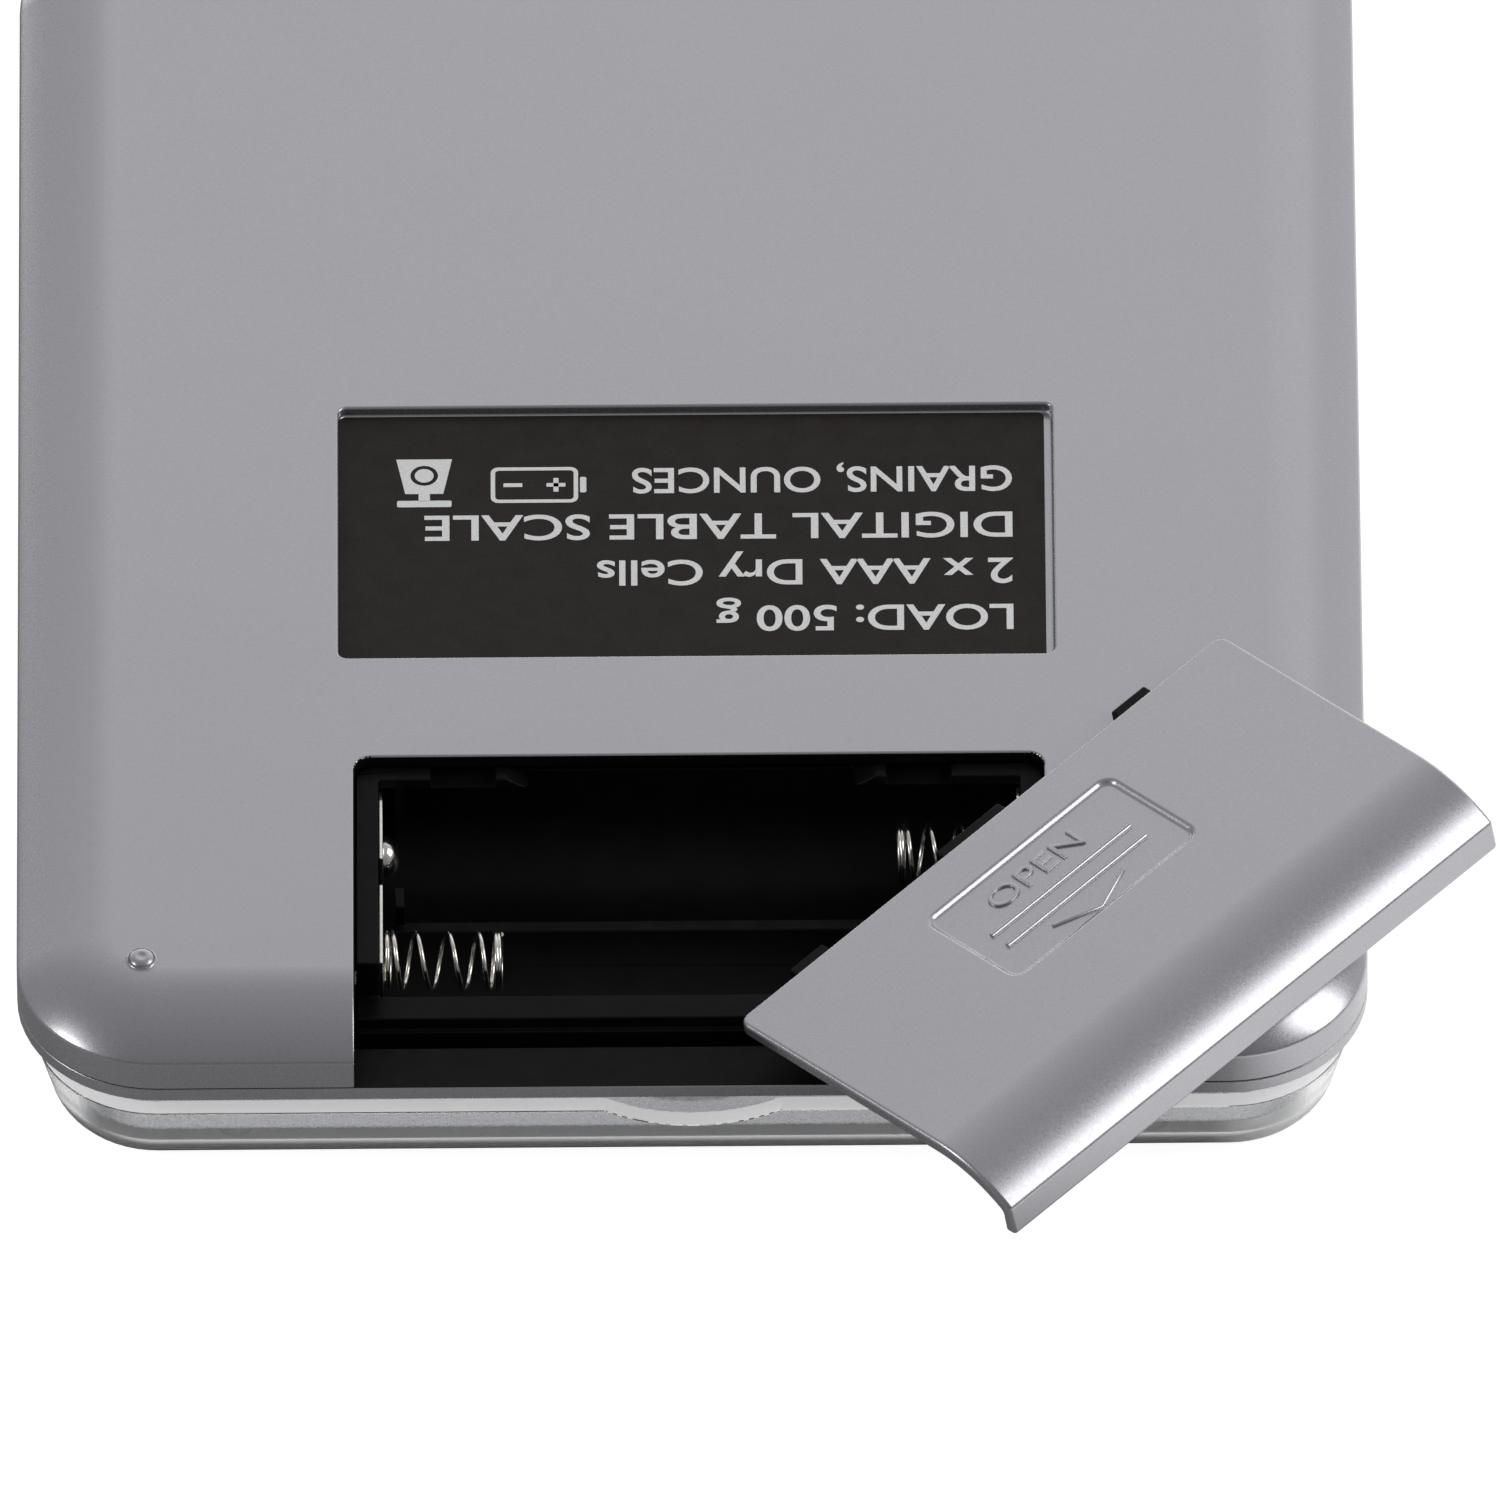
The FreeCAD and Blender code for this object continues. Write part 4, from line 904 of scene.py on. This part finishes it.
def gather(name, parts, place, material):
    """One piece from several meshes in millimetres, each with its own shift, laid by one placement."""
    joined = bmesh.new()
    for mesh, shift in parts:
        copy = mesh.copy()
        copy.transform(Matrix.Translation(shift))
        joined.from_mesh(copy)
    mesh = bpy.data.meshes.new(name)
    bmesh.ops.remove_doubles(joined, verts=joined.verts, dist=1e-5)
    joined.to_mesh(mesh)
    joined.free()
    mesh.transform(place @ Matrix.Scale(MM, 4))
    piece = bpy.data.objects.new(name, mesh)
    scene.collection.objects.link(piece)
    return paint(piece, material)


def make_label():
    side = (label_low.x + label_high.x) / 2
    end = (label_low.y + label_high.y) / 2
    size = label_high - label_low
    film = slab(size.x, size.y, 0.55, label_low.z, label_high.z, (side, end))
    film.name = "label_film"
    paint(film, FILM)
    finish_edges(film, 0.04, 2)
    wear(film, "spec_label", "scale")

    cap, thick, bold, row_pitch = 2.85, 0.02, 0.05, 5.07
    print_start, print_top = 25.5, -16.1
    rows = [("LOAD: 500 g", 23.4), ("2 x AAA Dry Cells", 32.8),
            ("DIGITAL TABLE SCALE", 46.4), ("GRAINS, OUNCES", 30.0)]
    parts = [(letters(text, width, cap, thick, bold), (0, -row_pitch * row, 0))
             for row, (text, width) in enumerate(rows)]
    x, y, pole = 37.7, -13.5, 1.7
    cell = [ring_at(x, y, 6.9, 3.9, 0.6), ring_at(x, y, 6.2, 3.2, 0.3), ring_at(x + pole, y, 1.5, 0.4, 0.05)]
    tip = [ring_at(x - 3.85, y, 0.5, 1.7, 0.15), ring_at(x - pole, y, 1.5, 0.4, 0.05)]
    cross = [ring_at(x - pole, y, 0.4, 1.5, 0.05)]
    x, y, foot, top = 46.4, -13.8, 2.2, 1.5
    pan = [ring_at(x, y + 2.3, 4.3, 0.7, 0.15), ring_at(x, y + 1.6, 0.9, 0.8, 0.1)]
    body = [[(x - foot, y - 2.6), (x + foot, y - 2.6), (x + top, y + 1.2), (x - top, y + 1.2)],
            ring_at(x, y - 0.8, 2.2, 2.2, 1.1), ring_at(x, y - 0.8, 1.5, 1.5, 0.75)]
    parts += [(sign(loops, thick), (0, 0, 0)) for loops in (cell, tip, cross, pan, body)]
    start = Vector((print_start, print_top, label_high.z)) * MM
    place = Matrix.Translation(start) @ Matrix.Rotation(math.pi, 4, "Z")
    ink = gather("label_print", parts, place, INK)
    return wear(ink, None, "scale")


def make_door_mark():
    """The raised word, two bars and arrow in the door's panel."""
    bar, arrow, sunk = 0.26, 0.2, 0.02
    bar_start, bar_end, arrow_end = 19.0, 34.3, 3.9
    arrow_x, arrow_top, arrow_tip = 26.6, -12.5, -14.1
    word = letters("OPEN", width=9.6, height=2.2, thick=0.1, bold=-0.05, bevel=0.055)
    parts = [(word, (21.4, -7.9, 0))]
    for y in (-9.4, -11.2):
        parts.append((bead([(bar_start, y), (bar_end, y)], bar), (0, 0, 0.03)))
    sides = [(arrow_x - arrow_end, arrow_top), (arrow_x, arrow_tip), (arrow_x + arrow_end, arrow_top)]
    parts.append((bead(sides, arrow), (0, 0, 0.02)))
    lift = Matrix.Translation((0, 0, (-PANEL_DEPTH - sunk) * MM))
    mark = gather("door_mark", parts, door_place() @ lift, SILVER)
    mark.data.shade_smooth()
    mark.data.set_sharp_from_angle(angle=math.radians(50))
    return wear(mark, None, "door")


def dress(material, *nodes):
    """The CAD nodes whose shape is right keep it and take a finish."""
    for name in nodes:
        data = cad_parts[name].data
        data.materials.clear()
        data.materials.append(material)


# ---- studio ----


def add_area(name, at, aim, wide, high, power):
    light = bpy.data.lights.new(name, "AREA")
    light.shape = "RECTANGLE"
    light.size, light.size_y = wide, high
    light.energy = power
    lamp = bpy.data.objects.new(name, light)
    scene.collection.objects.link(lamp)
    lamp.location = at
    lamp.rotation_euler = (Vector(aim) - Vector(at)).to_track_quat("-Z", "Y").to_euler()


def add_seen_white(tree, surface, strength):
    """What the lens sees of a backdrop is near white, while the object is lit by its own shade."""
    seen = tree.nodes.new("ShaderNodeEmission")
    seen.inputs["Color"].default_value = (1, 1, 1, 1)
    seen.inputs["Strength"].default_value = strength
    path = tree.nodes.new("ShaderNodeLightPath")
    mix = tree.nodes.new("ShaderNodeMixShader")
    tree.links.new(path.outputs["Is Camera Ray"], mix.inputs["Fac"])
    tree.links.new(surface, mix.inputs[1])
    tree.links.new(seen.outputs[0], mix.inputs[2])
    return mix.outputs[0]


def make_floor():
    """Pale paper that the lens sees near white, directly or through the clear cover, but with a painted
    shadow under the object seen through the cover, and a painted reflection to its right.
    """
    half = 6000
    # under_*: the painted shadow under the object, seen through the clear cover
    under_edge, under_fade, under_shade, beside_shade = 5, 4, 0.05, 1.03
    # flank_*: where the painted reflection to the object's right fades in, and how strong it is
    flank_start, flank_end, flank_shade, glow_shade = 13, 5, 0.95, 0.9
    corners = [(-half, -half, 0), (half, -half, 0), (half, half, 0), (-half, half, 0)]
    floor = mesh_piece("studio_floor", corners, [(0, 1, 2, 3)])
    paper = Finish("studio_paper", (0.42, 0.42, 0.42), roughness=0.9)
    paper.bump(paper.noise(4.0, 3.0), 0.01)
    path = paper.tree.nodes.new("ShaderNodeLightPath")
    split = paper.tree.nodes.new("ShaderNodeSeparateXYZ")
    paper.link(paper.place, split.inputs[0])

    def sum_of(operation, first, second=0.0):
        node = paper.tree.nodes.new("ShaderNodeMath")
        node.operation = operation
        for socket, source in zip(node.inputs, (first, second)):
            if isinstance(source, float):
                socket.default_value = source
            else:
                paper.link(source, socket)
        return node.outputs[0]

    # painted shadow: seen through the clear cover, the paper is dark under the object, and brightens over a
    # few millimetres just inside its edge
    beside = sum_of("SUBTRACT", sum_of("ABSOLUTE", split.outputs["X"]), (HALF_WIDTH - under_edge) * MM)
    ahead = sum_of("SUBTRACT", sum_of("ABSOLUTE", split.outputs["Y"]), (HALF_LENGTH - under_edge) * MM)
    painted_shadow_mask = paper.tree.nodes.new("ShaderNodeMapRange")
    painted_shadow_mask.inputs["From Max"].default_value = under_fade * MM
    painted_shadow_mask.inputs["To Min"].default_value = under_shade
    painted_shadow_mask.inputs["To Max"].default_value = beside_shade
    paper.link(sum_of("MAXIMUM", beside, ahead), painted_shadow_mask.inputs["Value"])
    through = sum_of("MULTIPLY", path.outputs["Is Transmission Ray"], painted_shadow_mask.outputs["Result"])
    # painted reflection: to its right the paper also glows into the paint, for glossy rays only
    painted_reflection_mask = paper.tree.nodes.new("ShaderNodeMapRange")
    painted_reflection_mask.inputs["From Min"].default_value = (HALF_WIDTH - flank_start) * MM
    painted_reflection_mask.inputs["From Max"].default_value = (HALF_WIDTH + flank_end) * MM
    painted_reflection_mask.inputs["To Max"].default_value = flank_shade
    paper.link(split.outputs["X"], painted_reflection_mask.inputs["Value"])
    glossy = sum_of("MULTIPLY", path.outputs["Is Glossy Ray"], painted_reflection_mask.outputs["Result"])
    seen = paper.tree.nodes.new("ShaderNodeMath")
    seen.operation = "MAXIMUM"
    paper.link(path.outputs["Is Camera Ray"], seen.inputs[0])
    paper.link(sum_of("MAXIMUM", through, glossy), seen.inputs[1])
    glow = paper.tree.nodes.new("ShaderNodeEmission")
    glow.inputs["Color"].default_value = (glow_shade, glow_shade, glow_shade, 1)
    paper.link(seen.outputs[0], glow.inputs["Strength"])
    both = paper.tree.nodes.new("ShaderNodeAddShader")
    paper.link(paper.shader.outputs[0], both.inputs[0])
    paper.link(glow.outputs[0], both.inputs[1])
    paper.link(both.outputs[0], paper.tree.nodes["Material Output"].inputs["Surface"])
    paint(floor, paper.material)


def make_sky():
    """Pale behind the object and a little to its right, dimmer overhead and dark in front of it."""
    lean_to, cool = (0.2, 0.96, 0.0), 0.015
    shades = [(0.0, 0.15), (0.2, 0.24), (0.5, 0.36), (0.68, 0.43),
              (0.77, 0.6), (0.83, 0.68), (0.9, 0.8), (1.0, 0.85)]
    world = bpy.data.worlds.new("studio")
    world.use_nodes = True
    tree = world.node_tree
    sky = tree.nodes["Background"]
    direction = tree.nodes.new("ShaderNodeTexCoord").outputs["Generated"]
    lean = tree.nodes.new("ShaderNodeVectorMath")
    lean.operation = "DOT_PRODUCT"
    lean.inputs[1].default_value = lean_to
    tree.links.new(direction, lean.inputs[0])
    spread = tree.nodes.new("ShaderNodeMapRange")
    spread.inputs["From Min"].default_value = -1
    tree.links.new(lean.outputs["Value"], spread.inputs["Value"])
    ramp = tree.nodes.new("ShaderNodeValToRGB")
    tree.links.new(spread.outputs["Result"], ramp.inputs["Fac"])
    stops = ramp.color_ramp.elements
    while len(stops) < len(shades):
        stops.new(0.5)
    for stop, (place, shade) in zip(stops, shades):
        stop.position = place
        stop.color = (shade * (1 - cool), shade * (1 - cool), shade * (1 + cool), 1)
    tree.links.new(ramp.outputs["Color"], sky.inputs["Color"])
    seen = add_seen_white(tree, sky.outputs[0], 0.96)
    tree.links.new(seen, tree.nodes["World Output"].inputs["Surface"])
    scene.world = world


def make_studio():
    make_floor()
    make_sky()
    add_area("left_softbox", (-0.495, -0.205, 0.285), (-0.047, -0.058, 0.015), 0.18, 0.22, 0.7)
    add_area("right_softbox", (0.420, -0.070, 0.375), (0.04, -0.05, 0.015), 0.26, 0.32, 1.0)
    add_area("back_panel", (0.08, 0.34, 0.30), (0.0, 0.03, 0.02), 0.40, 0.22, 0.06)
    add_area("horizon_strip", (-0.05, 0.62, 0.05), (0.0, 0.0, 0.01), 1.0, 0.07, 0.5)


def make_camera():
    """A long lens above the battery end, level but for a hair of roll."""
    elevation, roll = math.radians(46.0), math.radians(0.4248)
    lens, sensor, field = 1600.0, 36.0, 118.446
    side_shift, down_shift = 4.837, 23.393
    forward = Vector((0, math.cos(elevation), -math.sin(elevation)))
    level_right = Vector((1, 0, 0))
    level_up = Vector((0, math.sin(elevation), math.cos(elevation)))
    right = level_right * math.cos(roll) - level_up * math.sin(roll)
    up = level_right * math.sin(roll) + level_up * math.cos(roll)
    target = Vector((0, 0, BASE)) + right * side_shift - up * down_shift
    distance = field * lens / sensor
    data = bpy.data.cameras.new("studio_camera")
    data.lens, data.sensor_width = lens, sensor
    data.clip_start, data.clip_end = 0.1, 50.0
    camera = bpy.data.objects.new("studio_camera", data)
    scene.collection.objects.link(camera)
    turn = Matrix((right, up, -forward)).transposed().to_4x4()
    camera.matrix_world = Matrix.Translation((target - forward * distance) * MM) @ turn
    scene.camera = camera


make_base_cover()
make_top_case()
make_clear_cover()
make_tray()
make_contact("positive_contact", -1, [FAR_AXIS], [FAR_AXIS])
make_contact("negative_contact", -1, [NEAR_AXIS], [])
make_contact("bridge_contact", 1, [NEAR_AXIS, FAR_AXIS], [NEAR_AXIS])
make_spring("negative_spring", -1, NEAR_AXIS)
make_spring("bridge_spring", 1, FAR_AXIS)
make_door()
make_door_mark()
make_label()

dress(STAINLESS, "platform_plate")
dress(BLACK, "platform_carrier")
dress(ZINC, "platform_screws", "load_cell_screws", "board_screws", "case_screws", "key_switches")
dress(ALUMINIUM, "load_cell")
dress(GAUGE, "strain_gauges")
dress(LENS, "display_lens")
dress(GLASS, "lcd_panel")
dress(GUIDE, "lcd_backlight")
dress(ZEBRA, "zebra_strip")
dress(BOARD, "main_board")
dress(CHIP, "board_components")
dress(KEYCAP, "power_key", "unit_key", "tare_key", "count_key")
dress(WIRE, "battery_leads", "load_cell_lead")

make_studio()
make_camera()
scene.view_settings.view_transform = "Standard"
